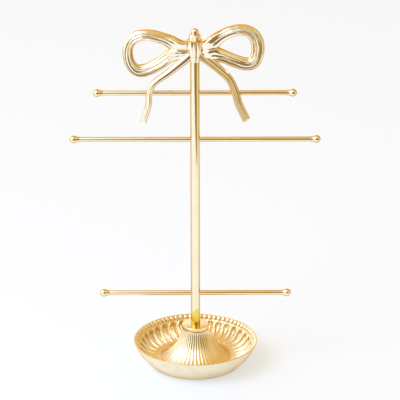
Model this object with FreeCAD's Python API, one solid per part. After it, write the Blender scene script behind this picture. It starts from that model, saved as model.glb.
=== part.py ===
import FreeCAD, Part
import math
import os

# Jewellery stand: a cast dish with a fluted cone at its centre, a post with three
# ball-ended crossbars, and a cast ribbon bow that a cap nut holds on top of the post.
# Millimetres. Z is up, X runs along the crossbars and the front faces -Y.
# The origin lies on the table, under the axis of the post.

V = FreeCAD.Vector
ORIGIN = V(0, 0, 0)
X_AXIS = V(1, 0, 0)
Y_AXIS = V(0, 1, 0)
Z_AXIS = V(0, 0, 1)

# Dish
DISH_RIM_R = 63.5
DISH_RIM_Z = 25.0
DISH_FOOT_R = 45.0
DISH_WALL_T = 2.6
DISH_WALL_BULGE = 2.4
DISH_FLOOR_T = 5.0
DISH_LIP_FILLET = 0.6
DISH_HEEL_FILLET = 1.5

# Felt pad, let into the underside and standing a little proud of the foot
FELT_R = 40.0
FELT_T = 1.0
FELT_PROUD = 0.5
FELT_CLEARANCE = 0.3

# Beaded wire, seated in a groove under the lip
BEAD_R = 2.35
BEAD_PITCH = 4.93
BEAD_WIRE_R = 1.0
BEAD_LIP_W = 1.55
BEAD_DROP = 1.5
BEAD_SEAT_CLEARANCE = 0.05

# Tongue-shaped hollows in the dish's inner wall, wide at the top and pointed at the floor
TONGUE_COUNT = 36
TONGUE_TOP_R = 4.0
TONGUE_POINT_R = 0.5
TONGUE_DEPTH = 1.2
TONGUE_POINT_DEPTH = 0.6
TONGUE_TOP_DROP = 8.0
TONGUE_FOOT_RISE = 1.5

# Fluted cone, hollow, standing on the dish floor
CONE_TROUGH_W = 10.7
CONE_TOP_R = 13.2
CONE_H = 31.0
CONE_FLARE = 4.7
CONE_WALL_T = 3.0
CONE_TOP_T = 4.0
CONE_STATIONS = 6
FLUTE_COUNT = 48
FLUTE_DEPTH_PER_PITCH = 0.2

# Collar between the cone and the post
COLLAR_OVERHANG = 0.4
COLLAR_T = 5.0
COLLAR_FILLET = 0.5

# Stud, washer and nut that clamp the post, collar, cone and dish together
BASE_STUD_D = 6.0
BASE_STUD_GRIP = 12.0
BASE_STUD_TAIL = 1.0
BASE_STUD_FLOOR_GAP = 1.4
BASE_NUT_AF = 10.0
BASE_NUT_H = 5.2
BASE_WASHER_R = 9.0
BASE_WASHER_T = 1.6
POCKET_CLEARANCE = 0.5
POCKET_WALL_T = 2.5
POCKET_ROOF_T = 2.5
BOLT_HOLE_CLEARANCE = 0.3

# Post and crossbars
POST_D = 9.5
POST_LENGTH = 284.0
BAR_D = 5.0
TOP_BAR_L = 202.0
MIDDLE_BAR_L = 250.0
BOTTOM_BAR_L = 194.0
TOP_BAR_DROP = 33.3
BAR_GAP = 49.1
BOTTOM_BAR_RISE = 34.6
BAR_FIT = 0.02

# Balls on the bar ends, each on a turned-down spigot
BALL_D = 8.0
BALL_NECK_L = 1.8
BALL_NECK_STEP = 0.3
BALL_NECK_SHARE = 0.8
SPIGOT_D = 3.0
SPIGOT_L = 5.0
SPIGOT_END_GAP = 0.3

# Fits
THREAD_CLEARANCE = 0.05
RUNNING_CLEARANCE = 0.1

# Bow knot, a ribbon wrapped round the post's axis
KNOT_R = 8.6
KNOT_BULGE = 1.2
KNOT_H = 21.6
KNOT_FOLDS = 10
KNOT_FOLD_R = 0.7

# Bow loops: teardrops that lie in the plane of the bars
LEFT_LOOP_L = 58.2
LEFT_LOOP_H = 32.0
LEFT_LOOP_TILT = -4.7
LEFT_LOOP_RISE = 12.3
LEFT_LOOP_UPPER_PINCH = 1.9
LEFT_LOOP_LOWER_PINCH = 3.6
RIGHT_LOOP_L = 56.3
RIGHT_LOOP_H = 31.6
RIGHT_LOOP_TILT = 4.7
RIGHT_LOOP_RISE = 10.9
RIGHT_LOOP_UPPER_PINCH = 1.6
RIGHT_LOOP_LOWER_PINCH = 3.6
LOOP_W = 12.5
LOOP_ROOT_W = 8.5
LOOP_DEPTH = 7.5
LOOP_ROOT_GAP = 0.6
LOOP_ROOT_INSET = 2.6
LOOP_STATIONS = 17
LOOP_TANGENT_STEP = 0.02

# Ridges of the gathered ribbon, counted round a section
RIBBON_RIDGES = 8
RIBBON_RIDGE_DEPTH = 0.12

# Bow tails: paths as (x, z above the post's top), hanging in front of the top bar
TAIL_T = 3.0
TAIL_BAR_GAP = 5.0
TAIL_ROOT_FORWARD = 0.4
TAIL_FORWARD_X = 34.0
TAIL_STATIONS = 11
LEFT_TAIL_PATH = [(-3, 8), (-9.5, 2.5), (-25, -10), (-38.5, -19.5), (-43.6, -30), (-44.3, -43), (-49.5, -59)]
LEFT_TAIL_WIDTHS = (8.0, 5.5, 6.0)
RIGHT_TAIL_PATH = [(3, 10), (11, 3.5), (23, -6.5), (33.5, -16), (39.8, -28), (44.5, -42), (51.8, -55.5)]
RIGHT_TAIL_WIDTHS = (9.5, 6.3, 8.0)
TAIL_NOTCH_DEPTH = 3.5
TAIL_NOTCH_W = 4.0

# Cap nut and the stud that it screws on to
TOP_STUD_D = 5.0
TOP_STUD_GRIP = 12.0
TOP_STUD_NUT_GRIP = 7.0
NUT_BORE_END_GAP = 0.5
CAP_NUT_AF = 11.1
CAP_NUT_HEX_H = 6.2
CAP_NUT_CHAMFER = 1.1
CAP_NUT_DOME_R = 3.7
CAP_NUT_DOME_STRAIGHT = 2.5
CAP_NUT_TURN = 10.0

# Levels and radii that follow from the sizes above
FOOT_Z = FELT_PROUD
FLOOR_Z = FELT_T + DISH_FLOOR_T
CONE_TOP_Z = FLOOR_Z + CONE_H
POST_BOTTOM_Z = CONE_TOP_Z + COLLAR_T
POST_TOP_Z = POST_BOTTOM_Z + POST_LENGTH
TOP_BAR_Z = POST_TOP_Z - TOP_BAR_DROP
MIDDLE_BAR_Z = TOP_BAR_Z - BAR_GAP
BOTTOM_BAR_Z = POST_BOTTOM_Z + BOTTOM_BAR_RISE
KNOT_TOP_Z = POST_TOP_Z + KNOT_H
BASE_STUD_BOTTOM_Z = FELT_T + BASE_STUD_FLOOR_GAP
BASE_NUT_Z = BASE_STUD_BOTTOM_Z + BASE_STUD_TAIL
BASE_WASHER_Z = BASE_NUT_Z + BASE_NUT_H
POCKET_TOP_Z = BASE_WASHER_Z + BASE_WASHER_T
POCKET_R = BASE_WASHER_R + POCKET_CLEARANCE
BEAD_RING_R = DISH_RIM_R - BEAD_LIP_W - BEAD_R
BEAD_RING_Z = DISH_RIM_Z - BEAD_DROP
BEAD_COUNT = round(2 * math.pi * BEAD_RING_R / BEAD_PITCH)
TAIL_Y = BAR_D / 2 + TAIL_BAR_GAP + TAIL_T / 2


def polar(radius, angle, z):
    """Point at a radius and an angle in radians round the Z axis."""
    return V(radius * math.cos(angle), radius * math.sin(angle), z)


def line(start, end):
    """Straight edge between two points."""
    return Part.LineSegment(start, end).toShape()


def bulged_arc(start, end, bulge):
    """Arc in the XZ plane that bows to the right of its chord by the given height."""
    chord = end - start
    side = V(chord.z, 0, -chord.x).normalize()
    return Part.ArcOfCircle(start, (start + end) / 2 + side * bulge, end)


def upright(radius, z, height):
    """Cylinder on the Z axis."""
    return Part.makeCylinder(radius, height, V(0, 0, z), Z_AXIS)


def turned(edges):
    """Solid of revolution about Z from a closed profile in the XZ plane."""
    solid = Part.Face(Part.Wire(edges)).revolve(ORIGIN, Z_AXIS, 360)
    if solid.Volume < 0:
        solid.reverse()
    return solid


def main_solid(shape):
    """The largest solid of a cut shape, with its split faces joined."""
    return max(shape.removeSplitter().Solids, key=lambda solid: solid.Volume)


def circles_of(shape, radius, z):
    """Full-circle edges of a shape with the given radius, at the given height."""
    found = []
    for edge in shape.Edges:
        if not isinstance(edge.Curve, Part.Circle):
            continue
        centre = edge.Curve.Center
        if math.isclose(edge.Curve.Radius, radius) and math.isclose(centre.z, z):
            found.append(edge)
    return found


def dish_wall():
    """The dish's outer wall as an arc from the foot to the rim."""
    return bulged_arc(V(DISH_FOOT_R, 0, FOOT_Z), V(DISH_RIM_R, 0, DISH_RIM_Z), DISH_WALL_BULGE)


def dish_inner_point(z):
    """Point of the inner wall at a height, on an arc concentric with the outer wall."""
    wall = dish_wall()
    inner_r = wall.Radius - DISH_WALL_T
    return V(wall.Center.x + math.sqrt(inner_r ** 2 - (z - wall.Center.z) ** 2), 0, z)


def tongue_cutter():
    """A tapered pin with a round top that scoops one hollow out of the inner wall."""
    centre = dish_wall().Center
    foot = dish_inner_point(FLOOR_Z + TONGUE_FOOT_RISE)
    top = dish_inner_point(DISH_RIM_Z - TONGUE_TOP_DROP)
    start = foot + (centre - foot).normalize() * (TONGUE_POINT_R - TONGUE_POINT_DEPTH)
    end = top + (centre - top).normalize() * (TONGUE_TOP_R - TONGUE_DEPTH)
    axis = end - start
    pin = Part.makeCone(TONGUE_POINT_R, TONGUE_TOP_R, axis.Length, start, axis)
    return pin.fuse(Part.makeSphere(TONGUE_TOP_R, end, axis)).removeSplitter()


def make_dish():
    """Cast dish: foot, bulging wall, bead groove, tongue hollows and the pocket for the nut."""
    wall = dish_wall()
    recess_r = FELT_R + FELT_CLEARANCE
    rim_inner = dish_inner_point(DISH_RIM_Z)
    floor_edge = dish_inner_point(FLOOR_Z)
    inner = Part.Arc(rim_inner, dish_inner_point((DISH_RIM_Z + FLOOR_Z) / 2), floor_edge)
    corners = [V(0, 0, FLOOR_Z), V(0, 0, FELT_T), V(recess_r, 0, FELT_T), V(recess_r, 0, FOOT_Z)]
    edges = [line(floor_edge, corners[0])]
    edges += [line(start, end) for start, end in zip(corners, corners[1:])]
    edges.append(line(corners[-1], wall.StartPoint))
    edges.append(wall.toShape())
    edges.append(line(wall.EndPoint, rim_inner))
    edges.append(inner.toShape())
    dish = turned(edges)
    dish = dish.makeFillet(DISH_LIP_FILLET, circles_of(dish, DISH_RIM_R, DISH_RIM_Z))
    dish = dish.makeFillet(DISH_HEEL_FILLET, circles_of(dish, DISH_FOOT_R, FOOT_Z))
    hub_r = POCKET_R + POCKET_WALL_T
    dish = dish.fuse(upright(hub_r, FELT_T, POCKET_TOP_Z + POCKET_ROOF_T - FELT_T))
    cutters = [upright(POCKET_R, FELT_T, POCKET_TOP_Z - FELT_T)]
    cutters.append(upright(BASE_STUD_D / 2 + BOLT_HOLE_CLEARANCE, 0, CONE_TOP_Z))
    cutters.append(Part.makeTorus(BEAD_RING_R, BEAD_R + BEAD_SEAT_CLEARANCE, V(0, 0, BEAD_RING_Z)))
    tongue = tongue_cutter()
    for index in range(TONGUE_COUNT):
        copy = tongue.copy()
        copy.rotate(ORIGIN, Z_AXIS, (index + 0.5) * 360 / TONGUE_COUNT)
        cutters.append(copy)
    return main_solid(dish.cut(cutters))


def make_bead_border():
    """Beaded wire: a ring with a bead at every pitch."""
    ring = Part.makeTorus(BEAD_RING_R, BEAD_WIRE_R, V(0, 0, BEAD_RING_Z))
    beads = []
    for index in range(BEAD_COUNT):
        angle = 2 * math.pi * index / BEAD_COUNT
        along_wire = V(-math.sin(angle), math.cos(angle), 0)
        beads.append(Part.makeSphere(BEAD_R, polar(BEAD_RING_R, angle, BEAD_RING_Z), along_wire))
    return main_solid(ring.fuse(beads))


def cone_flank():
    """The cone's flared side as an arc from its foot to its top."""
    foot_r = dish_inner_point(FLOOR_Z).x - CONE_TROUGH_W
    return bulged_arc(V(foot_r, 0, FLOOR_Z), V(CONE_TOP_R, 0, CONE_TOP_Z), -CONE_FLARE)


def cone_inner_point(flank, z):
    """Point of the cone's inside at a height, on an arc concentric with the flank."""
    radius = flank.Radius + CONE_WALL_T
    return V(flank.Center.x - math.sqrt(radius ** 2 - (z - flank.Center.z) ** 2), 0, z)


def fluted_ring(radius, z):
    """Closed outline of concave flutes that meet in sharp arrises."""
    step = 2 * math.pi / FLUTE_COUNT
    valley_r = radius - FLUTE_DEPTH_PER_PITCH * radius * step
    edges = []
    for index in range(FLUTE_COUNT):
        start = polar(radius, index * step, z)
        valley = polar(valley_r, (index + 0.5) * step, z)
        end = polar(radius, (index + 1) * step, z)
        edges.append(Part.Arc(start, valley, end).toShape())
    return Part.Wire(edges)


def make_fluted_cone():
    """Flared cone with tapering flutes, hollow inside, with a clearance hole in its top."""
    flank = cone_flank()
    rings = []
    for index in range(CONE_STATIONS):
        share = index / (CONE_STATIONS - 1)
        place = flank.FirstParameter + share * (flank.LastParameter - flank.FirstParameter)
        point = flank.value(place)
        rings.append(fluted_ring(point.x, point.z))
    cone = Part.makeLoft(rings, True)
    roof_z = CONE_TOP_Z - CONE_TOP_T
    low = cone_inner_point(flank, FLOOR_Z)
    middle = cone_inner_point(flank, (FLOOR_Z + roof_z) / 2)
    high = cone_inner_point(flank, roof_z)
    edges = [line(V(0, 0, FLOOR_Z), low), Part.Arc(low, middle, high).toShape()]
    edges += [line(high, V(0, 0, roof_z)), line(V(0, 0, roof_z), V(0, 0, FLOOR_Z))]
    hole = upright(BASE_STUD_D / 2 + BOLT_HOLE_CLEARANCE, FLOOR_Z, CONE_H)
    return main_solid(cone.cut([turned(edges), hole]))


def make_post_collar():
    """Round collar on the cone's top, bored to centre the stud."""
    radius = CONE_TOP_R + COLLAR_OVERHANG
    collar = upright(radius, CONE_TOP_Z, COLLAR_T)
    rims = circles_of(collar, radius, CONE_TOP_Z) + circles_of(collar, radius, POST_BOTTOM_Z)
    collar = collar.makeFillet(COLLAR_FILLET, rims)
    return main_solid(collar.cut(upright(BASE_STUD_D / 2 + RUNNING_CLEARANCE, CONE_TOP_Z, COLLAR_T)))


def hexagon(across_flats, z, height, turn):
    """Hexagonal prism on the Z axis, with its first corner turned from +X by degrees."""
    corner_r = across_flats / math.sqrt(3)
    corners = [polar(corner_r, math.radians(turn + 60 * index), z) for index in range(7)]
    return Part.Face(Part.makePolygon(corners)).extrude(V(0, 0, height))


def make_base_nut():
    """Hexagon nut on the stud, inside the dish's pocket."""
    nut = hexagon(BASE_NUT_AF, BASE_NUT_Z, BASE_NUT_H, 0)
    return main_solid(nut.cut(upright(BASE_STUD_D / 2 + THREAD_CLEARANCE, BASE_NUT_Z, BASE_NUT_H)))


def make_base_washer():
    """Flat washer between the nut and the pocket's roof."""
    washer = upright(BASE_WASHER_R, BASE_WASHER_Z, BASE_WASHER_T)
    bore = upright(BASE_STUD_D / 2 + BOLT_HOLE_CLEARANCE, BASE_WASHER_Z, BASE_WASHER_T)
    return main_solid(washer.cut(bore))


def make_post():
    """Round post with a cross hole for each bar and a bore for a stud in each end."""
    post = upright(POST_D / 2, POST_BOTTOM_Z, POST_LENGTH)
    cutters = [upright(BASE_STUD_D / 2 + THREAD_CLEARANCE, POST_BOTTOM_Z, BASE_STUD_GRIP)]
    top_bore_r = TOP_STUD_D / 2 + THREAD_CLEARANCE
    cutters.append(upright(top_bore_r, POST_TOP_Z - TOP_STUD_GRIP, TOP_STUD_GRIP))
    for z in (TOP_BAR_Z, MIDDLE_BAR_Z, BOTTOM_BAR_Z):
        cutters.append(Part.makeCylinder(BAR_D / 2 + BAR_FIT, 2 * POST_D, V(-POST_D, 0, z), X_AXIS))
    return main_solid(post.cut(cutters))


def bar_shoulder(length):
    """Distance from the post's axis to the end of a bar's full diameter."""
    return length / 2 - BALL_D - BALL_NECK_L


def make_bar(length, z):
    """Crossbar: a round rod with a thinner spigot at each end."""
    shoulder = bar_shoulder(length)
    rod = Part.makeCylinder(BAR_D / 2, 2 * shoulder, V(-shoulder, 0, z), X_AXIS)
    reach = shoulder + SPIGOT_L
    spigot = Part.makeCylinder(SPIGOT_D / 2, 2 * reach, V(-reach, 0, z), X_AXIS)
    return main_solid(rod.fuse(spigot))


def make_ball(length, z, side):
    """Ball with a conical neck and a blind socket, on the bar's end at the given side."""
    outward = X_AXIS * side
    centre = V(side * (length / 2 - BALL_D / 2), 0, z)
    mouth = V(side * bar_shoulder(length), 0, z)
    neck_inner_r = BAR_D / 2 + BALL_NECK_STEP
    neck_outer_r = BALL_NECK_SHARE * BALL_D / 2
    neck_l = BALL_NECK_L + BALL_D / 2 - math.sqrt((BALL_D / 2) ** 2 - neck_outer_r ** 2)
    neck = Part.makeCone(neck_inner_r, neck_outer_r, neck_l, mouth, outward)
    socket_l = SPIGOT_L + SPIGOT_END_GAP
    socket = Part.makeCylinder(SPIGOT_D / 2 + THREAD_CLEARANCE, socket_l, mouth, outward)
    ball = Part.makeSphere(BALL_D / 2, centre, outward)
    return main_solid(ball.fuse(neck).cut(socket))


def knot_barrel():
    """The knot's outer form, before its folds and bore."""
    low = V(KNOT_R - KNOT_BULGE, 0, POST_TOP_Z)
    high = V(KNOT_R - KNOT_BULGE, 0, KNOT_TOP_Z)
    side = bulged_arc(low, high, KNOT_BULGE)
    edges = [line(V(0, 0, POST_TOP_Z), low), side.toShape(), line(high, V(0, 0, KNOT_TOP_Z))]
    edges.append(line(V(0, 0, KNOT_TOP_Z), V(0, 0, POST_TOP_Z)))
    return turned(edges)


def make_bow_knot():
    """Wrapped knot: a barrel with upright folds, bored for the top stud."""
    low = V(KNOT_R - KNOT_BULGE, 0, POST_TOP_Z)
    high = V(KNOT_R - KNOT_BULGE, 0, KNOT_TOP_Z)
    side = bulged_arc(low, high, KNOT_BULGE)
    fold = Part.makeTorus(side.Radius, KNOT_FOLD_R, side.Center, Y_AXIS)
    cutters = [upright(TOP_STUD_D / 2 + RUNNING_CLEARANCE, POST_TOP_Z, KNOT_H)]
    for index in range(KNOT_FOLDS):
        copy = fold.copy()
        copy.rotate(ORIGIN, Z_AXIS, (index + 0.5) * 360 / KNOT_FOLDS)
        cutters.append(copy)
    return main_solid(knot_barrel().cut(cutters))


def ribbon_section(centre, across, through, width, depth):
    """Closed outline of the gathered ribbon: an oval whose rim rises and falls in ridges."""
    points = []
    for index in range(2 * RIBBON_RIDGES):
        angle = math.pi * (index + 0.5) / RIBBON_RIDGES
        swell = 1 - RIBBON_RIDGE_DEPTH * (index % 2)
        offset = across * (swell * width / 2 * math.cos(angle))
        offset += through * (swell * depth / 2 * math.sin(angle))
        points.append(centre + offset)
    curve = Part.BSplineCurve()
    curve.interpolate(Points=points, PeriodicFlag=True)
    return Part.Wire([curve.toShape()])


def teardrop(turn, height, upper_pinch, lower_pinch):
    """Height of a loop's centreline above its axis, as turn goes once round from the root."""
    pinch = upper_pinch if turn < math.pi else lower_pinch
    # The swell peaks where cos(turn) is -(pinch / (pinch + 2)), and is scaled to 1 there.
    peak = math.acos(-pinch / (pinch + 2))
    scale = math.sin(peak) * math.sin(peak / 2) ** pinch
    swell = math.sin(turn) * math.sin(turn / 2) ** pinch / scale
    root = (LOOP_ROOT_W + LOOP_ROOT_GAP) / 2
    return root * math.cos(turn / 2) + height / 2 * swell


def loop_path(turn, length, height, upper_pinch, lower_pinch):
    """Point of a loop's centreline in its own plane, outwards along X from the root."""
    return V(length * (1 - math.cos(turn)) / 2, 0, teardrop(turn, height, upper_pinch, lower_pinch))


def make_loop(side, length, height, tilt, rise, upper_pinch, lower_pinch):
    """Ribbon loop from the knot's side out and back, cut to meet the knot face to face."""
    shape = (length, height, upper_pinch, lower_pinch)
    sections = []
    for index in range(LOOP_STATIONS):
        turn = 2 * math.pi * index / (LOOP_STATIONS - 1)
        centre = loop_path(turn, *shape)
        before = loop_path(max(turn - LOOP_TANGENT_STEP, 0), *shape)
        after = loop_path(min(turn + LOOP_TANGENT_STEP, 2 * math.pi), *shape)
        along = (after - before).normalize()
        across = V(-along.z, 0, along.x)
        width = LOOP_W
        if centre.x < length / 2:
            strand_gap = abs(centre.z - loop_path(2 * math.pi - turn, *shape).z)
            width = min(LOOP_W, strand_gap - LOOP_ROOT_GAP)
        sections.append(ribbon_section(centre, across, Y_AXIS, width, LOOP_DEPTH))
    loop = Part.makeLoft(sections, True)
    loop.rotate(ORIGIN, -Y_AXIS, tilt)
    loop.translate(V(KNOT_R - LOOP_ROOT_INSET, 0, POST_TOP_Z + rise))
    if side < 0:
        loop = loop.mirror(ORIGIN, X_AXIS)
    return main_solid(loop.cut(knot_barrel()))


def tail_width(widths, share):
    """Ribbon width at a share of the way down a tail, from the root, waist and end widths."""
    root, waist, end = widths
    if share < 0.5:
        return root + (waist - root) * share * 2
    return waist + (end - waist) * (share - 0.5) * 2


def make_tail(path, widths, loop, notched):
    """Ribbon tail from the knot's front down past the top bar, swallow-tailed where notched."""
    points = []
    for x, z in path:
        forward = TAIL_ROOT_FORWARD + (1 - TAIL_ROOT_FORWARD) * min(abs(x) / TAIL_FORWARD_X, 1)
        points.append(V(x, -TAIL_Y * forward, POST_TOP_Z + z))
    line_of_tail = Part.BSplineCurve()
    line_of_tail.interpolate(Points=points)
    sections = []
    for index in range(TAIL_STATIONS):
        share = index / (TAIL_STATIONS - 1)
        place = line_of_tail.FirstParameter
        place += share * (line_of_tail.LastParameter - line_of_tail.FirstParameter)
        along = V(*line_of_tail.tangent(place)[0])
        across = along.cross(Y_AXIS).normalize()
        through = across.cross(along).normalize()
        centre = line_of_tail.value(place)
        sections.append(ribbon_section(centre, across, through, tail_width(widths, share), TAIL_T))
    tail = Part.makeLoft(sections, True)
    if notched:
        tip = centre - along * TAIL_NOTCH_DEPTH - through * TAIL_T
        mouth = centre + along - through * TAIL_T
        half_mouth = across * (TAIL_NOTCH_W / 2)
        wedge = Part.Face(Part.makePolygon([tip, mouth + half_mouth, mouth - half_mouth, tip]))
        tail = tail.cut(wedge.extrude(through * (2 * TAIL_T)))
    return main_solid(tail.cut([knot_barrel(), loop]))


def make_cap_nut():
    """Cap nut: a chamfered hexagon under a small dome, with a blind bore."""
    hexagon_top = KNOT_TOP_Z + CAP_NUT_HEX_H
    body = hexagon(CAP_NUT_AF, KNOT_TOP_Z, CAP_NUT_HEX_H, CAP_NUT_TURN - 90)
    corner_r = CAP_NUT_AF / math.sqrt(3)
    bevel_r = corner_r - CAP_NUT_CHAMFER
    rounding = upright(corner_r, KNOT_TOP_Z, CAP_NUT_HEX_H - CAP_NUT_CHAMFER)
    rounding = rounding.fuse(Part.makeCone(corner_r, bevel_r, CAP_NUT_CHAMFER,
                                           V(0, 0, hexagon_top - CAP_NUT_CHAMFER), Z_AXIS))
    body = body.common(rounding)
    body = body.fuse(upright(CAP_NUT_DOME_R, KNOT_TOP_Z, CAP_NUT_HEX_H + CAP_NUT_DOME_STRAIGHT))
    dome_z = hexagon_top + CAP_NUT_DOME_STRAIGHT
    body = body.fuse(Part.makeSphere(CAP_NUT_DOME_R, V(0, 0, dome_z), Z_AXIS))
    bore_l = TOP_STUD_NUT_GRIP + NUT_BORE_END_GAP
    return main_solid(body.cut(upright(TOP_STUD_D / 2 + THREAD_CLEARANCE, KNOT_TOP_Z, bore_l)))


def make_parts():
    """Every node of the stand, by name."""
    stud_top = POST_BOTTOM_Z + BASE_STUD_GRIP
    top_stud_l = TOP_STUD_GRIP + KNOT_H + TOP_STUD_NUT_GRIP
    parts = {
        "felt_pad": upright(FELT_R, 0, FELT_T),
        "dish": make_dish(),
        "bead_border": make_bead_border(),
        "fluted_cone": make_fluted_cone(),
        "post_collar": make_post_collar(),
        "base_stud": upright(BASE_STUD_D / 2, BASE_STUD_BOTTOM_Z, stud_top - BASE_STUD_BOTTOM_Z),
        "base_washer": make_base_washer(),
        "base_nut": make_base_nut(),
        "post": make_post(),
        "top_stud": upright(TOP_STUD_D / 2, POST_TOP_Z - TOP_STUD_GRIP, top_stud_l),
        "bow_knot": make_bow_knot(),
        "cap_nut": make_cap_nut(),
    }
    bars = {
        "top": (TOP_BAR_L, TOP_BAR_Z),
        "middle": (MIDDLE_BAR_L, MIDDLE_BAR_Z),
        "bottom": (BOTTOM_BAR_L, BOTTOM_BAR_Z),
    }
    for name, (length, z) in bars.items():
        parts[f"{name}_bar"] = make_bar(length, z)
        parts[f"{name}_bar_left_ball"] = make_ball(length, z, -1)
        parts[f"{name}_bar_right_ball"] = make_ball(length, z, 1)
    parts["bow_left_loop"] = make_loop(-1, LEFT_LOOP_L, LEFT_LOOP_H, LEFT_LOOP_TILT, LEFT_LOOP_RISE,
                                       LEFT_LOOP_UPPER_PINCH, LEFT_LOOP_LOWER_PINCH)
    parts["bow_right_loop"] = make_loop(1, RIGHT_LOOP_L, RIGHT_LOOP_H, RIGHT_LOOP_TILT, RIGHT_LOOP_RISE,
                                        RIGHT_LOOP_UPPER_PINCH, RIGHT_LOOP_LOWER_PINCH)
    parts["bow_left_tail"] = make_tail(LEFT_TAIL_PATH, LEFT_TAIL_WIDTHS, parts["bow_left_loop"], True)
    parts["bow_right_tail"] = make_tail(RIGHT_TAIL_PATH, RIGHT_TAIL_WIDTHS, parts["bow_right_loop"], False)
    return parts


os.makedirs("parts", exist_ok=True)
for node, shape in make_parts().items():
    shape.exportStep(f"parts/{node}.step")
    print(node, "solids", len(shape.Solids), "volume", round(shape.Volume, 1), "valid", shape.isValid())
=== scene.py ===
"""Looks of a gold jewellery stand: cast dish and fluted cone, post with ball-ended bars, ribbon bow.

Metres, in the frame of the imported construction: Z is up, X runs along the bars and the front faces -Y.
"""
import logging
import math
from dataclasses import dataclass
from enum import Enum
from itertools import pairwise
from typing import Callable, Sequence

import bpy
import numpy as np
from mathutils import Matrix, Vector, noise


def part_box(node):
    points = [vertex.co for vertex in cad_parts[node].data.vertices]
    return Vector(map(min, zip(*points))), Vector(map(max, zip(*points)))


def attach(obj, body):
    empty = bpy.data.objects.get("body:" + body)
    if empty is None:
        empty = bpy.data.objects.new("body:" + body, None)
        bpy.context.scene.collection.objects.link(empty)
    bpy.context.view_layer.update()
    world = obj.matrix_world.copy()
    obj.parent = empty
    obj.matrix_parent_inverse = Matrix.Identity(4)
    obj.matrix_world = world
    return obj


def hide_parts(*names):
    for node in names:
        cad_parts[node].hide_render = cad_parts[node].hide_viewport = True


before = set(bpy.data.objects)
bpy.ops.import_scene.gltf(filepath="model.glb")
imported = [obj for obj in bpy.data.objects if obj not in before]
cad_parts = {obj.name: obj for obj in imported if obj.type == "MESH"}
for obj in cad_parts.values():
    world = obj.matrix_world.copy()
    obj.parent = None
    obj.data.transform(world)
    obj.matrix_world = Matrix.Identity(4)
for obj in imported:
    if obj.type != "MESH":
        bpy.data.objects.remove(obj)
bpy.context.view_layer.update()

LOG = logging.getLogger("jewellery_stand")
MM = 0.001
TURN = 2 * math.pi
# Part of a length at 45 degrees that lies along either side.
DIAGONAL = math.sqrt(0.5)
# Distance at which vertices are welded, and that at which one lies on a surface.
WELD = 0.001 * MM
ON_SURFACE = 0.01 * MM
# Least part of a normal along an axis for a face that looks that way.
FACING = 0.99
# Part of a pitch by which a vertex on a seam may fall short of it.
SEAM = 1e-6
# Step to either side of a place on a line, for its direction, and the least length to divide by.
STEP = 0.004
TINY = 1e-12
# Attribute with the light and shade painted into a finish, a darker tone below 0 and a highlight above,
# and its value on a fold's ridge, where a highlight is painted.
RELIEF = "relief"
RIDGE_TINT = 0.8

# Spans of the painted light and of the clouding over which the metal's colour and polish change.
HOLLOW_SPAN = (0.0, -0.9)
RAISED_SPAN = (0.15, 0.9)
DULLED_SPAN = (0.4, 0.8)
DULLED_SHARE = 0.2
CLOUD_SPAN = (0.3, 0.7)

# Sockets of a Mix node's colours, which share their names with those of its other kinds.
MIX_INPUTS = (0, 6, 7)
MIX_OUTPUT = 2

Point = tuple[float, float]
Place = tuple[float, float, float]
Colour = tuple[float, float, float, float]


class Body(Enum):
    """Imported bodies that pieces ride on."""

    BASE = "base"
    TREE = "tree"
    BOW = "bow"
    CAP = "cap"


class Slot(Enum):
    """Material slots of the record."""

    POLISHED = "polished_gold"
    CAST = "cast_gold"
    BOW = "bow_gold"
    STEEL = "steel_hardware"
    FELT = "felt"


class Side(Enum):
    """Side of the post, as the sign of X."""

    LEFT = -1
    RIGHT = 1


# Modelling


def begin(add: Callable[..., set[str]], name: str, **settings: object) -> bpy.types.Object:
    """Adds one primitive, alone in the selection, and opens it in edit mode.

    Args:
        add: operator that adds the primitive.
        name: name of the piece.
        settings: the operator's own sizes and place.

    Returns:
        The new object, in edit mode, with all of it selected.
    """
    bpy.ops.object.select_all(action="DESELECT")
    add(**settings)
    piece = bpy.context.object
    piece.name = name
    piece.data.name = name
    bpy.ops.object.transform_apply(location=True, rotation=True, scale=True)
    bpy.ops.object.mode_set(mode="EDIT")
    bpy.ops.mesh.select_mode(type="VERT")
    bpy.ops.mesh.select_all(action="SELECT")
    return piece


def close_mesh() -> None:
    """Welds the mesh that is open in edit mode, turns its faces outwards and leaves edit mode."""
    bpy.ops.mesh.select_all(action="SELECT")
    bpy.ops.mesh.remove_doubles(threshold=WELD)
    bpy.ops.mesh.normals_make_consistent(inside=False)
    bpy.ops.object.mode_set(mode="OBJECT")


def select_only(piece: bpy.types.Object) -> None:
    """Makes a piece the only selected object and the active one.

    Args:
        piece: object to select.
    """
    bpy.ops.object.select_all(action="DESELECT")
    piece.select_set(True)
    bpy.context.view_layer.objects.active = piece


def shade(piece: bpy.types.Object, crease: float) -> None:
    """Shades a piece smooth, except over edges sharper than the crease in degrees.

    Args:
        piece: object to shade.
        crease: angle between faces above which their edge stays sharp.
    """
    select_only(piece)
    bpy.ops.object.shade_smooth_by_angle(angle=math.radians(crease))


def use_modifier(piece: bpy.types.Object, kind: str, **settings: object) -> None:
    """Puts a modifier on a piece and applies it.

    Args:
        piece: object to change.
        kind: Blender's name of the modifier type.
        settings: values of the modifier.
    """
    select_only(piece)
    bpy.ops.object.modifier_add(type=kind)
    modifier = piece.modifiers[-1]
    for key, value in settings.items():
        setattr(modifier, key, value)
    bpy.ops.object.modifier_apply(modifier=modifier.name)


def select_faces(piece: bpy.types.Object, wanted: Callable[[bpy.types.MeshPolygon], bool]) -> None:
    """Leaves only the wanted faces of a piece selected, in edit mode.

    Args:
        piece: object that is open in edit mode.
        wanted: test of a face by its place or normal.
    """
    bpy.ops.mesh.select_mode(type="FACE")
    bpy.ops.mesh.select_all(action="DESELECT")
    bpy.ops.object.mode_set(mode="OBJECT")
    for face in piece.data.polygons:
        face.select = wanted(face)
    bpy.ops.object.mode_set(mode="EDIT")


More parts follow.
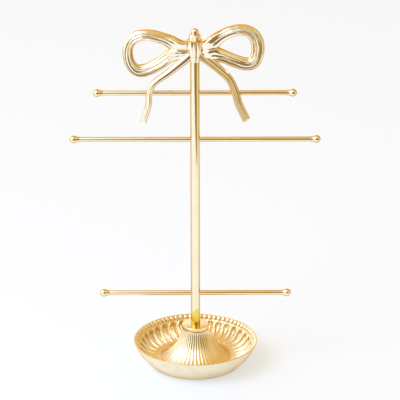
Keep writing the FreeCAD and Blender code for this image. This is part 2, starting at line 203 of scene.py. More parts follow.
def points_of(piece: bpy.types.Object) -> np.ndarray:
    """Reads the piece's vertices.

    Args:
        piece: object to read.

    Returns:
        Rows of X, Y and Z.
    """
    flat = np.empty(len(piece.data.vertices) * 3)
    piece.data.vertices.foreach_get("co", flat)
    return flat.reshape(-1, 3)


def move_points(piece: bpy.types.Object, points: np.ndarray) -> None:
    """Puts the piece's vertices at new places."""
    piece.data.vertices.foreach_set("co", points.astype(np.float32).ravel())
    piece.data.update()


def polar(points: np.ndarray) -> tuple[np.ndarray, np.ndarray]:
    """Distance from the Z axis and angle round it, for each point."""
    return np.hypot(points[:, 0], points[:, 1]), np.arctan2(points[:, 1], points[:, 0])


def put_polar(points: np.ndarray, radius: np.ndarray, angle: np.ndarray) -> None:
    """Puts points at new distances from the Z axis and angles round it."""
    points[:, 0] = radius * np.cos(angle)
    points[:, 1] = radius * np.sin(angle)


def mark_relief(piece: bpy.types.Object, values: np.ndarray) -> None:
    """Keeps on each vertex the light and shade painted into its finish: a darker tone (to -1) or a highlight
    (to 1).
    """
    attribute = piece.data.attributes.new(RELIEF, "FLOAT", "POINT")
    attribute.data.foreach_set("value", np.clip(values, -1, 1).astype(np.float32))


def turned(name: str, profile: Sequence[Point], steps: int, copies: int = 1) -> bpy.types.Object:
    """Turns a closed profile about the Z axis, one sector at a time.

    Args:
        name: name of the piece.
        profile: (radius, height) points, joined in order and back to the first.
        steps: divisions of one sector.
        copies: number of equal sectors in the full turn.

    Returns:
        The closed piece, in object mode.
    """
    piece = begin(bpy.ops.mesh.primitive_plane_add, name, size=MM)
    bpy.ops.mesh.merge(type="CENTER")
    bpy.ops.transform.translate(value=(profile[0][0], 0, profile[0][1]))
    for (radius, height), (next_radius, next_height) in pairwise([*profile, profile[0]]):
        step = (next_radius - radius, 0, next_height - height)
        bpy.ops.mesh.extrude_vertices_move(TRANSFORM_OT_translate={"value": step})
    bpy.ops.mesh.select_all(action="SELECT")
    bpy.ops.mesh.remove_doubles(threshold=WELD)
    bpy.ops.mesh.spin(steps=steps, angle=TURN / copies, center=(0, 0, 0), axis=(0, 0, 1))
    bpy.ops.object.mode_set(mode="OBJECT")
    if copies > 1:
        repeat_round(piece, copies)
    bpy.ops.object.mode_set(mode="EDIT")
    close_mesh()
    return piece


def repeat_round(piece: bpy.types.Object, copies: int) -> None:
    """Copies a sector round the Z axis and welds the seams.

    Args:
        piece: the sector, starting at +X.
        copies: number of sectors in the full turn.
    """
    pivot = bpy.data.objects.new("pivot", None)
    bpy.context.scene.collection.objects.link(pivot)
    pivot.rotation_euler.z = TURN / copies
    bpy.context.view_layer.update()
    use_modifier(
        piece,
        "ARRAY",
        count=copies,
        use_relative_offset=False,
        use_object_offset=True,
        offset_object=pivot,
        use_merge_vertices=True,
        use_merge_vertices_cap=True,
        merge_threshold=WELD,
    )
    bpy.data.objects.remove(pivot)


def tube(name: str, sides: int, rings: int) -> tuple[bpy.types.Object, np.ndarray, np.ndarray]:
    """A straight tube to be laid along a path, one unit high.

    Args:
        name: name of the piece.
        sides: points round a section.
        rings: sections along the tube.

    Returns:
        The piece in object mode, and each vertex's share of the way along and angle round the section.
    """
    piece = begin(bpy.ops.mesh.primitive_circle_add, name, vertices=sides, radius=1.0, fill_type="NOTHING")
    bpy.ops.mesh.extrude_repeat(steps=rings, offset=(0, 0, 1 / rings))
    bpy.ops.mesh.select_all(action="SELECT")
    bpy.ops.object.mode_set(mode="OBJECT")
    points = points_of(piece)
    return piece, np.clip(points[:, 2], 0, 1), np.arctan2(points[:, 1], points[:, 0])


def ripple(points: np.ndarray, size: float, seed: float) -> np.ndarray:
    """Smooth random height from -1 to 1 at each point.

    Args:
        points: rows of X, Y and Z.
        size: width of one ripple.
        seed: offset that makes one field differ from another.

    Returns:
        One value for each point.
    """
    shift = Vector((seed, 2 * seed, 3 * seed))
    return np.array([noise.noise(Vector(point) / size + shift) for point in points])


def smooth_step(low: float, high: float, value: np.ndarray) -> np.ndarray:
    """Eases from 0 at low to 1 at high."""
    share = np.clip((value - low) / (high - low), 0, 1)
    return share * share * (3 - 2 * share)


@dataclass(frozen=True)
class Arc:
    """Arc in a profile plane that bows to the right of its chord.

    start and end are (radius, height) points, and bulge is the arc's height over its chord.
    """

    start: Point
    end: Point
    bulge: float

    @property
    def radius(self) -> float:
        """Radius of the arc."""
        chord = math.dist(self.start, self.end)
        return (chord**2 / 4 + self.bulge**2) / (2 * abs(self.bulge))

    @property
    def centre(self) -> np.ndarray:
        """Centre of the arc.

        Returns:
            The centre as a (radius, height) point.
        """
        start, end = np.array(self.start), np.array(self.end)
        along = (end - start) / np.linalg.norm(end - start)
        side = np.array([along[1], -along[0]])
        return (start + end) / 2 + side * (self.bulge - math.copysign(self.radius, self.bulge))

    def radius_at(self, height: float | np.ndarray, inset: float = 0.0) -> float | np.ndarray:
        """Distance from the Z axis at a height.

        Args:
            height: height in the profile plane, or several.
            inset: how far the wanted arc lies towards the centre from this one.

        Returns:
            The radius from the Z axis at each height.
        """
        reach = np.sqrt((self.radius - inset) ** 2 - (height - self.centre[1]) ** 2)
        return self.centre[0] + np.copysign(reach, self.bulge)

    def points(self, count: int) -> list[Point]:
        """Points at evenly spaced heights from start to end.

        Args:
            count: number of points.

        Returns:
            (radius, height) points.
        """
        heights = np.linspace(self.start[1], self.end[1], count)
        return list(zip(self.radius_at(heights), heights))


def round_corner(centre: Point, radius: float, first: float, last: float, count: int) -> list[Point]:
    """Points of a rounded corner in a profile plane.

    Args:
        centre: centre of the rounding.
        radius: radius of the rounding.
        first: angle of the first point in degrees, from the radius axis towards Z.
        last: angle of the last point.
        count: number of points.

    Returns:
        (radius, height) points.
    """
    angles = np.radians(np.linspace(first, last, count))
    return [(centre[0] + radius * math.cos(angle), centre[1] + radius * math.sin(angle)) for angle in angles]


# Finishes


class Wiring:
    """Nodes and links of one shader tree."""

    def __init__(self, tree: bpy.types.NodeTree) -> None:
        """Takes the tree to fill."""
        self.tree = tree

    def add(self, kind: str, **settings: object) -> bpy.types.Node:
        """Adds a node.

        Args:
            kind: Blender's name of the node type.
            settings: properties of the node.

        Returns:
            The node.
        """
        node = self.tree.nodes.new(kind)
        for key, value in settings.items():
            setattr(node, key, value)
        return node

    def put(self, socket: bpy.types.NodeSocket, value: object) -> None:
        """Links an input to an output, or sets it.

        Args:
            socket: input socket.
            value: output socket to link, or a plain value.
        """
        if isinstance(value, bpy.types.NodeSocket):
            self.tree.links.new(value, socket)
        else:
            socket.default_value = value

    def feed(self, node: bpy.types.Node, **inputs: object) -> bpy.types.Node:
        """Sets or links a node's inputs, by their names with spaces as underscores.

        Args:
            node: node to feed.
            inputs: a value, or the output socket to link, for each input.

        Returns:
            The same node.
        """
        for key, value in inputs.items():
            self.put(node.inputs[key.replace("_", " ")], value)
        return node

    def combine(self, operation: str, first: object, second: object) -> bpy.types.NodeSocket:
        """Works out one value from two.

        Args:
            operation: Blender's name of the operation.
            first: first value or socket.
            second: second value or socket.

        Returns:
            The result's socket.
        """
        node = self.add("ShaderNodeMath", operation=operation)
        self.put(node.inputs[0], first)
        self.put(node.inputs[1], second)
        return node.outputs[0]

    def ramp(
        self, value: bpy.types.NodeSocket, low: float, high: float, start: float, end: float
    ) -> bpy.types.NodeSocket:
        """Eases a value from one range into another.

        Args:
            value: socket to read.
            low: value that gives start.
            high: value that gives end.
            start: result at low.
            end: result at high.

        Returns:
            The result's socket.
        """
        node = self.add("ShaderNodeMapRange", interpolation_type="SMOOTHSTEP")
        self.feed(node, Value=value, From_Min=low, From_Max=high, To_Min=start, To_Max=end)
        return node.outputs["Result"]

    def blend(self, share: object, first: object, second: object) -> bpy.types.NodeSocket:
        """Mixes two colours.

        Args:
            share: share of the second colour.
            first: first colour or socket.
            second: second colour or socket.

        Returns:
            The mixed colour's socket.
        """
        node = self.add("ShaderNodeMix", data_type="RGBA")
        for index, value in zip(MIX_INPUTS, (share, first, second)):
            self.put(node.inputs[index], value)
        return node.outputs[MIX_OUTPUT]


def new_material(name: str) -> tuple[bpy.types.Material, Wiring, bpy.types.Node]:
    """Starts a node material.

    Args:
        name: name of the material.

    Returns:
        The material, its wiring and its Principled shader.
    """
    material = bpy.data.materials.new(name)
    material.use_nodes = True
    return material, Wiring(material.node_tree), material.node_tree.nodes["Principled BSDF"]


def new_group(name: str, inputs: dict[str, str], outputs: dict[str, str]) -> bpy.types.NodeTree:
    """Starts a shader node group.

    Args:
        name: name of the group.
        inputs: socket type for each input's name.
        outputs: socket type for each output's name.

    Returns:
        The group, with its sockets and no nodes.
    """
    tree = bpy.data.node_groups.new(name, "ShaderNodeTree")
    for direction, sockets in (("INPUT", inputs), ("OUTPUT", outputs)):
        for socket_name, kind in sockets.items():
            tree.interface.new_socket(socket_name, in_out=direction, socket_type=f"NodeSocket{kind}")
    return tree


def metal_skin() -> bpy.types.NodeTree:
    """Makes the group for the fine grain and the broad clouding of a surface.

    Returns:
        The group.
    """
    inputs = {"Vector": "Vector", "Grain": "Float", "Cloud": "Float"}
    tree = new_group("metal_skin", inputs, {"Height": "Float", "Clouding": "Float"})
    wiring = Wiring(tree)
    source = wiring.add("NodeGroupInput").outputs
    grain = wiring.add("ShaderNodeTexNoise")
    wiring.feed(grain, Vector=source["Vector"], Scale=source["Grain"], Detail=3.0, Roughness=0.55)
    cloud = wiring.add("ShaderNodeTexNoise")
    wiring.feed(cloud, Vector=source["Vector"], Scale=source["Cloud"], Detail=2.0, Roughness=0.5)
    result = wiring.add("NodeGroupOutput")
    wiring.feed(result, Height=grain.outputs["Fac"], Clouding=cloud.outputs["Fac"])
    return tree


def relief_tint() -> bpy.types.NodeTree:
    """Makes the group that paints a darker tone and a highlight by the painted value, over random clouding.

    Returns:
        The group.
    """
    colours = {"Plain": "Color", "Hollow": "Color", "Crest": "Color"}
    inputs = {"Relief": "Float", "Clouding": "Float", **colours}
    tree = new_group("relief_tint", inputs, {"Colour": "Color", "Hollowness": "Float"})
    wiring = Wiring(tree)
    source = wiring.add("NodeGroupInput").outputs
    # Shares of the painted darker tone and of the painted highlight.
    hollowness = wiring.ramp(source["Relief"], *HOLLOW_SPAN, 0.0, 1.0)
    raised = wiring.ramp(source["Relief"], *RAISED_SPAN, 0.0, 1.0)
    dulled = wiring.ramp(source["Clouding"], *DULLED_SPAN, 0.0, DULLED_SHARE)
    # Random clouding dulls the plain colour a little towards the darker tone; the painted highlight and the
    # painted darker tone go over it.
    colour = wiring.blend(dulled, source["Plain"], source["Hollow"])
    colour = wiring.blend(raised, colour, source["Crest"])
    colour = wiring.blend(hollowness, colour, source["Hollow"])
    wiring.feed(wiring.add("NodeGroupOutput"), Colour=colour, Hollowness=hollowness)
    return tree


@dataclass(frozen=True)
class GoldFinish:
    """Gold plating, with the colours and polish of its plain metal and of the light and shade painted onto
    it.

    hollow is the painted darker tone: shade, and on the polished gold the reflection on the post's foot;
    random clouding also dulls the plain colour a little towards it. crest is the painted highlight, and rim a
    painted edge reflection, laid on where the metal turns away from the eye, between the two shares of
    rim_span.
    roughness runs from plain metal to where the darker tone is painted, and is scaled by cloud_dulling from
    clear metal to clouded.
    grain and cloud are sizes, and bump is the grain's height.
    """

    name: str
    slot: Slot
    plain: Colour
    hollow: Colour
    crest: Colour
    rim: Colour
    rim_span: tuple[float, float]
    roughness: tuple[float, float]
    grain: float
    cloud: float
    bump: float
    cloud_dulling: tuple[float, float] = (0.85, 1.2)

    def material(self, groups: dict[str, bpy.types.NodeTree]) -> bpy.types.Material:
        """Makes the material.

        Args:
            groups: shared node groups by name.

        Returns:
            The material.
        """
        material, wiring, shader = new_material(self.name)
        place = wiring.add("ShaderNodeTexCoord").outputs["Object"]
        skin = wiring.add("ShaderNodeGroup", node_tree=groups["metal_skin"])
        wiring.feed(skin, Vector=place, Grain=1 / self.grain, Cloud=1 / self.cloud)
        relief = wiring.add("ShaderNodeAttribute", attribute_name=RELIEF)
        tint = wiring.add("ShaderNodeGroup", node_tree=groups["relief_tint"])
        wiring.feed(tint, Relief=relief.outputs["Fac"], Clouding=skin.outputs["Clouding"])
        wiring.feed(tint, Plain=self.plain, Hollow=self.hollow, Crest=self.crest)
        dullness = wiring.ramp(tint.outputs["Hollowness"], 0.0, 1.0, *self.roughness)
        clouded = wiring.ramp(skin.outputs["Clouding"], *CLOUD_SPAN, *self.cloud_dulling)
        bump = wiring.feed(wiring.add("ShaderNodeBump"), Height=skin.outputs["Height"], Distance=self.bump)
        # Painted edge reflection: deep gold laid on by the angle to the eye, where the metal turns away from
        # it.
        facing = wiring.feed(wiring.add("ShaderNodeLayerWeight"), Blend=0.5, Normal=bump.outputs["Normal"])
        turned_away = wiring.ramp(facing.outputs["Facing"], *self.rim_span, 0.0, 1.0)
        wiring.feed(
            shader,
            Base_Color=wiring.blend(turned_away, tint.outputs["Colour"], self.rim),
            Metallic=1.0,
            Roughness=wiring.combine("MULTIPLY", dullness, clouded),
            Normal=bump.outputs["Normal"],
        )
        return material


@dataclass(frozen=True)
class SteelFinish:
    """Zinc-plated steel of the studs, nut and washer, with a rolled thread's rings.

    roughness runs from clear metal to clouded, and grain_share is the grain's part of the thread's depth.
    """

    name: str = "zinc_steel"
    slot: Slot = Slot.STEEL
    bright: Colour = (0.62, 0.62, 0.60, 1.0)
    dull: Colour = (0.42, 0.42, 0.41, 1.0)
    roughness: tuple[float, float] = (0.28, 0.42)
    grain: float = 0.4 * MM
    cloud: float = 5.0 * MM
    grain_share: float = 0.1
    pitch: float = 1.0 * MM
    thread_depth: float = 0.3 * MM

    def material(self, groups: dict[str, bpy.types.NodeTree]) -> bpy.types.Material:
        """Makes the material.

        Args:
            groups: shared node groups by name.

        Returns:
            The material.
        """
        material, wiring, shader = new_material(self.name)
        place = wiring.add("ShaderNodeTexCoord").outputs["Object"]
        skin = wiring.add("ShaderNodeGroup", node_tree=groups["metal_skin"])
        wiring.feed(skin, Vector=place, Grain=1 / self.grain, Cloud=1 / self.cloud)
        thread = wiring.add("ShaderNodeTexWave", wave_type="BANDS", bands_direction="Z", wave_profile="TRI")
        # At a scale of pi, one band of the wave texture is a tenth of a unit wide.
        wiring.feed(thread, Vector=place, Scale=math.pi / (10 * self.pitch), Distortion=0.0)
        grain = wiring.combine("MULTIPLY", skin.outputs["Height"], self.grain_share)
        height = wiring.combine("ADD", thread.outputs["Fac"], grain)
        bump = wiring.feed(wiring.add("ShaderNodeBump"), Height=height, Distance=self.thread_depth)
        colour = wiring.blend(skin.outputs["Clouding"], self.bright, self.dull)
        rough = wiring.ramp(skin.outputs["Clouding"], *CLOUD_SPAN, *self.roughness)
        wiring.feed(shader, Base_Color=colour, Metallic=1.0, Roughness=rough, Normal=bump.outputs["Normal"])
        return material


@dataclass(frozen=True)
class FeltFinish:
    """Pressed wool felt. fibre and cloud are sizes, and nap is the fibres' height."""

    name: str = "pressed_felt"
    slot: Slot = Slot.FELT
    light: Colour = (0.74, 0.70, 0.62, 1.0)
    dark: Colour = (0.55, 0.51, 0.44, 1.0)
    roughness: tuple[float, float] = (0.9, 1.0)
    sheen: float = 0.4
    fibre: float = 0.35 * MM
    cloud: float = 6.0 * MM
    nap: float = 0.25 * MM

    def material(self, groups: dict[str, bpy.types.NodeTree]) -> bpy.types.Material:
        """Makes the material.

        Args:
            groups: shared node groups by name.

        Returns:
            The material.
        """
        material, wiring, shader = new_material(self.name)
        place = wiring.add("ShaderNodeTexCoord").outputs["Object"]
        skin = wiring.add("ShaderNodeGroup", node_tree=groups["metal_skin"])
        wiring.feed(skin, Vector=place, Grain=1 / self.fibre, Cloud=1 / self.cloud)
        bump = wiring.feed(wiring.add("ShaderNodeBump"), Height=skin.outputs["Height"], Distance=self.nap)
        wiring.feed(
            shader,
            Base_Color=wiring.blend(skin.outputs["Height"], self.dark, self.light),
            Roughness=wiring.ramp(skin.outputs["Clouding"], *CLOUD_SPAN, *self.roughness),
            Sheen_Weight=self.sheen,
            Normal=bump.outputs["Normal"],
        )
        return material


Finish = GoldFinish | SteelFinish | FeltFinish


# In each gold, hollow is the painted darker tone (shade on the cast, fluted and bow gold; on the polished
# gold the reflection on the post's foot), crest the painted highlight and rim the painted edge reflection.
POLISHED_GOLD = GoldFinish(
    name="polished_gold",
    slot=Slot.POLISHED,
    plain=(0.98, 0.90, 0.68, 1.0),
    hollow=(0.95, 0.75, 0.15, 1.0),
    crest=(0.98, 0.92, 0.74, 1.0),
    rim=(0.70, 0.42, 0.07, 1.0),
    rim_span=(0.2, 0.58),
    roughness=(0.08, 0.16),
    grain=0.6 * MM,
    cloud=14 * MM,
    bump=0.002 * MM,
)
CAST_GOLD = GoldFinish(
    name="cast_gold",
    slot=Slot.CAST,
    plain=(0.97, 0.87, 0.66, 1.0),
    hollow=(0.77, 0.54, 0.22, 1.0),
    crest=(0.98, 0.90, 0.68, 1.0),
    rim=(0.80, 0.52, 0.16, 1.0),
    rim_span=(0.66, 0.96),
    roughness=(0.38, 0.5),
    grain=1.1 * MM,
    cloud=9 * MM,
    bump=0.004 * MM,
)
FLUTED_GOLD = GoldFinish(
    name="fluted_gold",
    slot=Slot.CAST,
    plain=(0.98, 0.89, 0.66, 1.0),
    hollow=(0.72, 0.46, 0.15, 1.0),
    crest=(0.98, 0.92, 0.74, 1.0),
    rim=(0.76, 0.45, 0.11, 1.0),
    rim_span=(0.4, 0.85),
    roughness=(0.15, 0.3),
    grain=1.1 * MM,
    cloud=9 * MM,
    bump=0.004 * MM,
)
BOW_GOLD = GoldFinish(
    name="bow_gold",
    slot=Slot.BOW,
    plain=(0.98, 0.90, 0.69, 1.0),
    hollow=(0.54, 0.31, 0.07, 1.0),
    crest=(0.98, 0.93, 0.77, 1.0),
    rim=(0.71, 0.40, 0.08, 1.0),
    rim_span=(0.28, 0.7),
    roughness=(0.1, 0.26),
    grain=1.6 * MM,
    cloud=7 * MM,
    bump=0.015 * MM,
)
ZINC_STEEL = SteelFinish()
PRESSED_FELT = FeltFinish()


class FinishRack:
    """Materials of the stand, each made once."""

    def __init__(self) -> None:
        """Makes the shared node groups."""
        self.groups = {"metal_skin": metal_skin(), "relief_tint": relief_tint()}
        self.made: dict[str, bpy.types.Material] = {}

    def dress(self, piece: bpy.types.Object, finish: Finish) -> None:
        """Gives a piece its finish as its only material.

        Args:
            piece: object to dress.
            finish: finish to use.
        """
        if finish.name not in self.made:
            self.made[finish.name] = finish.material(self.groups)
        piece.data.materials.clear()
        piece.data.materials.append(self.made[finish.name])

    def settle(self, piece: bpy.types.Object, finish: Finish, body: Body, *nodes: str) -> None:
        """Dresses a piece, puts it on its body in place of its nodes and reports it.

        Args:
            piece: finished mesh object.
            finish: finish to use.
            body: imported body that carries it.
            nodes: nodes that it stands for.
        """
        self.dress(piece, finish)
        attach(piece, body.value)
        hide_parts(*nodes)
        LOG.info("%s: %d faces, %s, on %s", piece.name, len(piece.data.polygons), finish.name, body.value)


# Base


@dataclass
class TongueBorder:
    """Row of raised tongue outlines on the dish's inner wall, each round a smaller tongue.

    Heights run along the wall from the floor's edge. The point of a tongue is down, and a dart stands
    between each two. An edge is the pair of distances from an outline between which a form rises.
    """

    count: int = 36
    point_at: float = 1.6 * MM
    point_r: float = 0.3 * MM
    top_at: float = 19.0 * MM
    top_r: float = 4.05 * MM
    inner_point_at: float = 7.0 * MM
    inner_top_at: float = 17.6 * MM
    inner_top_r: float = 1.75 * MM
    ridge_w: float = 0.62 * MM
    ridge_h: float = 0.85 * MM
    hollow_depth: float = 1.1 * MM
    hollow_at_point: float = 0.35
    hollow_edge: Point = (0.1 * MM, 1.1 * MM)
    pad_share: float = 0.8
    pad_edge: Point = (-0.5 * MM, 0.7 * MM)
    dart_h: float = 0.45 * MM
    dart_w: float = 0.4 * MM
    dart_edge: Point = (0.3 * MM, 1.0 * MM)

    @staticmethod
    def outline(side: np.ndarray, up: np.ndarray, low: Point, high: Point) -> np.ndarray:
        """Signed distance to a tongue that tapers from a round top to a small round point.

        Args:
            side: distance from the tongue's centre line.
            up: distance along the wall from the floor's edge.
            low: (height, radius) of the point's rounding.
            high: (height, radius) of the top's rounding.

        Returns:
            The distance, negative inside.
        """
        across, rise = np.abs(side), up - low[0]
        reach = high[0] - low[0]
        slope = (low[1] - high[1]) / reach
        lean = math.sqrt(1 - slope * slope)
        along = -slope * across + lean * rise
        below = np.hypot(across, rise) - low[1]
        above = np.hypot(across, rise - reach) - high[1]
        between = lean * across + slope * rise - low[1]
        return np.where(along < 0, below, np.where(along > lean * reach, above, between))

    def height(self, angle: np.ndarray, radius: np.ndarray, up: np.ndarray) -> np.ndarray:
        """Height of the raised and sunk forms over the wall.

        Args:
            angle: angle round the dish.
            radius: distance from the dish's axis.
            up: distance along the wall from the floor's edge.

        Returns:
            The height at each point, negative in the hollows.
        """
        pitch = TURN / self.count
        side = (np.mod(angle, pitch) - pitch / 2) * radius
        outer = self.outline(side, up, (self.point_at, self.point_r), (self.top_at, self.top_r))
        inner_low = (self.inner_point_at, self.point_r)
        inner = self.outline(side, up, inner_low, (self.inner_top_at, self.inner_top_r))
        ridge = self.ridge_h * np.exp(-((outer / self.ridge_w) ** 2))
        deepening = (1 - self.hollow_at_point) * smooth_step(self.point_at, self.top_at, up)
        depth = self.hollow_depth * (self.hollow_at_point + deepening)
        hollow = -depth * smooth_step(*self.hollow_edge, -outer)
        pad = self.pad_share * self.hollow_depth * smooth_step(*self.pad_edge, -inner)
        gap = radius * pitch / 2 - np.abs(side)
        dart = self.dart_h * np.exp(-((gap / self.dart_w) ** 2)) * smooth_step(*self.dart_edge, outer)
        return ridge + hollow + pad * (outer < 0) + dart


@dataclass
class Dish:
    """Cast dish with its beaded wire and felt pad.

    The tongues' hollows get painted shade and their ridges and the raised line a painted highlight, full at
    full_relief. The plain bands get painted light too: shade on the bed under the beads, a highlight on the
    lip's top and a dark line on its edge, a contact shadow on the heel, and on the outer wall shade that
    fades from the foot to tint_to of its height. A raised line runs round the bowl over the tongues.
    """

    foot_r: float = 45.0 * MM
    wall_bulge: float = 2.4 * MM
    wall_t: float = 2.6 * MM
    wall_rows: int = 12
    floor_r: float = 40.5 * MM
    floor_z: float = 6.0 * MM
    floor_rows: tuple[float, ...] = (0.85, 0.95)
    bowl_top_z: float = 20.5 * MM
    bowl_bulge: float = 3.0 * MM
    bowl_rows: int = 52
    bowl_fade: Point = (0.6 * MM, 0.3 * MM)
    line_h: float = 0.35 * MM
    line_w: float = 0.4 * MM
    line_below: float = 1.2 * MM
    lip_round: float = 0.6 * MM
    lip_band: float = 0.72 * MM
    heel_round: float = 1.5 * MM
    pocket_r: float = 9.5 * MM
    pocket_z: float = 10.2 * MM
    hub_r: float = 12.0 * MM
    hub_z: float = 12.7 * MM
    bore_r: float = 3.3 * MM
    sector_steps: int = 26
    full_relief: float = 0.8 * MM
    # Painted shade on the bed under the beads.
    bed_tint: float = -0.35
    # Painted highlight on the lip's top and a painted dark line on its outer edge.
    lip_tint: float = 0.8
    lip_edge_tint: float = -0.6
    # Painted shade on the outer wall: darkest at the foot, fading by tint_to of its height.
    wall_tint: Point = (-0.32, -0.02)
    tint_to: float = 0.8
    tint_skin: float = 0.4 * MM
    # Painted contact shadow on the heel.
    heel_tint: float = -1.0
    bead_count: int = 76
    bead_middle: Point = (60.9 * MM, 22.8 * MM)
    bead_half: Point = (2.65 * MM, 1.35 * MM)
    bead_bed: float = 0.5 * MM
    bead_bed_share: float = 0.85
    bead_fill: float = 0.93
    bead_nip: float = 0.3
    bead_sides: int = 20
    bead_steps: int = 18
    # Painted shade in the gaps between the beads and painted highlight on their crowns.
    bead_tint: Point = (-1.5, 0.9)
    felt_gap: float = 0.3 * MM
    recess_z: float = 1.0 * MM
    felt_sides: int = 96
    felt_insets: tuple[float, ...] = (0.25 * MM, 6.0 * MM, 8.0 * MM, 10.0 * MM)
    felt_round: float = 0.2 * MM

    def __post_init__(self) -> None:
        """Reads the rim, the foot and the felt from the frame."""
        low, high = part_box("dish")
        self.rim_z = high.z
        self.wall = Arc((self.foot_r, low.z), (high.x, high.z), self.wall_bulge)
        bowl_top = (self.wall.radius_at(self.bowl_top_z, self.wall_t), self.bowl_top_z)
        self.bowl = Arc((self.floor_r, self.floor_z), bowl_top, self.bowl_bulge)
        self.felt_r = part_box("felt_pad")[1].x
        self.tongues = TongueBorder()

    def bowl_span(self) -> Point:
        """Angles of the bowl's foot and top about the centre of its arc.

        Returns:
            Both angles, in radians.
        """
        ends = (np.array(end) - self.bowl.centre for end in (self.bowl.start, self.bowl.end))
        first, last = (math.atan2(up, out) for out, up in ends)
        return first, last

    def inside(self) -> list[Point]:
        """Inner half of the dish's profile: hub, floor, bowl and the sloping bed of the beads.

        Returns:
            (radius, height) points.
        """
        first, last = (math.degrees(angle) for angle in self.bowl_span())
        points = [(self.bore_r, self.hub_z), (self.hub_r, self.hub_z), (self.hub_r, self.floor_z)]
        points += [(share * self.floor_r, self.floor_z) for share in self.floor_rows]
        points += round_corner(tuple(self.bowl.centre), self.bowl.radius, first, last, self.bowl_rows)
        sunk = self.bead_bed * DIAGONAL
        bed_r, bed_z = self.bead_middle[0] + sunk, self.bead_middle[1] - sunk
        reach = self.bead_bed_share * self.bead_half[0] * DIAGONAL
        bed_top = self.wall.radius_at(self.rim_z - self.lip_round) - 2 * self.lip_round
        points += [(bed_r - reach, bed_z - reach), (bed_r, bed_z), (bed_top, bed_z + bed_top - bed_r)]
        return points

    def outside(self) -> list[Point]:
        """Outer half of the dish's profile: lip, wall, heel, felt recess and nut pocket.

        Returns:
            (radius, height) points.
        """
        lip_z = self.rim_z - self.lip_round
        lip_centre = (self.wall.radius_at(lip_z) - self.lip_round, lip_z)
        points = round_corner(lip_centre, self.lip_round, first=180, last=-20, count=9)
        heel_z = self.wall.start[1] + self.heel_round
        heights = np.linspace(lip_z - self.lip_round, heel_z, self.wall_rows)
        points += [(self.wall.radius_at(height), height) for height in heights]
        heel_centre = (self.wall.radius_at(heel_z) - self.heel_round, heel_z)
        points += round_corner(heel_centre, self.heel_round, first=-30, last=-90, count=4)
        recess_r = self.felt_r + self.felt_gap
        points += [(recess_r, self.wall.start[1]), (recess_r, self.recess_z), (self.pocket_r, self.recess_z)]
        points += [(self.pocket_r, self.pocket_z), (self.bore_r, self.pocket_z)]
        return points

    def raise_tongues(self, points: np.ndarray) -> np.ndarray:
        """Raises the tongues on the bowl, with the line over them.

        Args:
            points: vertices of the turned dish, which are moved.

        Returns:
            How far each vertex is raised or sunk, which is 0 off the bowl.
        """
        radius, angle = polar(points)
        from_centre = np.stack([radius, points[:, 2]], axis=1) - self.bowl.centre
        reach = np.linalg.norm(from_centre, axis=1)
        place = np.arctan2(from_centre[:, 1], from_centre[:, 0])
        first, last = self.bowl_span()
        on_bowl = (np.abs(reach - self.bowl.radius) < ON_SURFACE) & (place > first) & (place < last)
        up = (place - first) * self.bowl.radius
        below_top = (last - place) * self.bowl.radius
        line = self.line_h * np.exp(-(((below_top - self.line_below) / self.line_w) ** 2))
        foot_fade, top_fade = self.bowl_fade
        fade = smooth_step(0, foot_fade, up) * smooth_step(0, top_fade, below_top)
        height = np.where(on_bowl, fade * (self.tongues.height(angle, radius, up) + line), 0)
        shift = -height / np.maximum(reach, MM)
        put_polar(points, radius + from_centre[:, 0] * shift, angle)
        points[:, 2] += from_centre[:, 1] * shift
        return height

    def shell_relief(self, radius: np.ndarray, z: np.ndarray, height: np.ndarray) -> np.ndarray:
        """Light and shade painted on the dish for its finish: on the bowl from its tongues, and on its plain
        bands.

        Args:
            radius: distance of each vertex from the axis, as turned.
            z: height of each vertex.
            height: how far the bowl is raised at each vertex.

        Returns:
            One value for each vertex.
        """
        # Painted shade in the tongues' hollows and painted highlight on their ridges and on the raised line.
        relief = height / self.full_relief
        # Painted shade on the bed under the beads.
        bed_edge = self.wall.radius_at(self.rim_z) - 2 * self.lip_round
        relief[(z > self.bowl_top_z) & (radius < bed_edge)] = self.bed_tint
        # Painted highlight on the lip's top and a painted dark line on its outer edge.
        lip = z > self.rim_z - self.lip_band
        lip_top = self.wall.radius_at(self.rim_z - self.lip_round) - self.lip_band
        relief[lip] = np.where(radius[lip] < lip_top, self.lip_tint, self.lip_edge_tint)
        # Painted shade on the outer wall, darkest at the foot and fading upwards.
        wall_r = self.wall.radius_at(np.clip(z, 0, self.rim_z))
        wall = (radius > wall_r - self.tint_skin) & ~lip
        foot_tint, top_tint = self.wall_tint
        relief[wall] = foot_tint + (top_tint - foot_tint) * smooth_step(0, self.tint_to * self.rim_z, z[wall])
        # Painted contact shadow round the heel, where the dish meets the floor.
        relief[(z < self.wall.start[1] + self.heel_round) & (radius > self.felt_r)] = self.heel_tint
        return relief

    def build_shell(self) -> bpy.types.Object:
        """Turns the dish, raises the tongues on its bowl and paints light and shade over it.

        Returns:
            The dish.
        """
        piece = turned("dish_shell", self.inside() + self.outside(), self.sector_steps, self.tongues.count)
        points = points_of(piece)
        radius, _ = polar(points)
        height = self.raise_tongues(points)
        move_points(piece, points)
        mark_relief(piece, self.shell_relief(radius, points[:, 2], height))
        shade(piece, crease=40)
        return piece

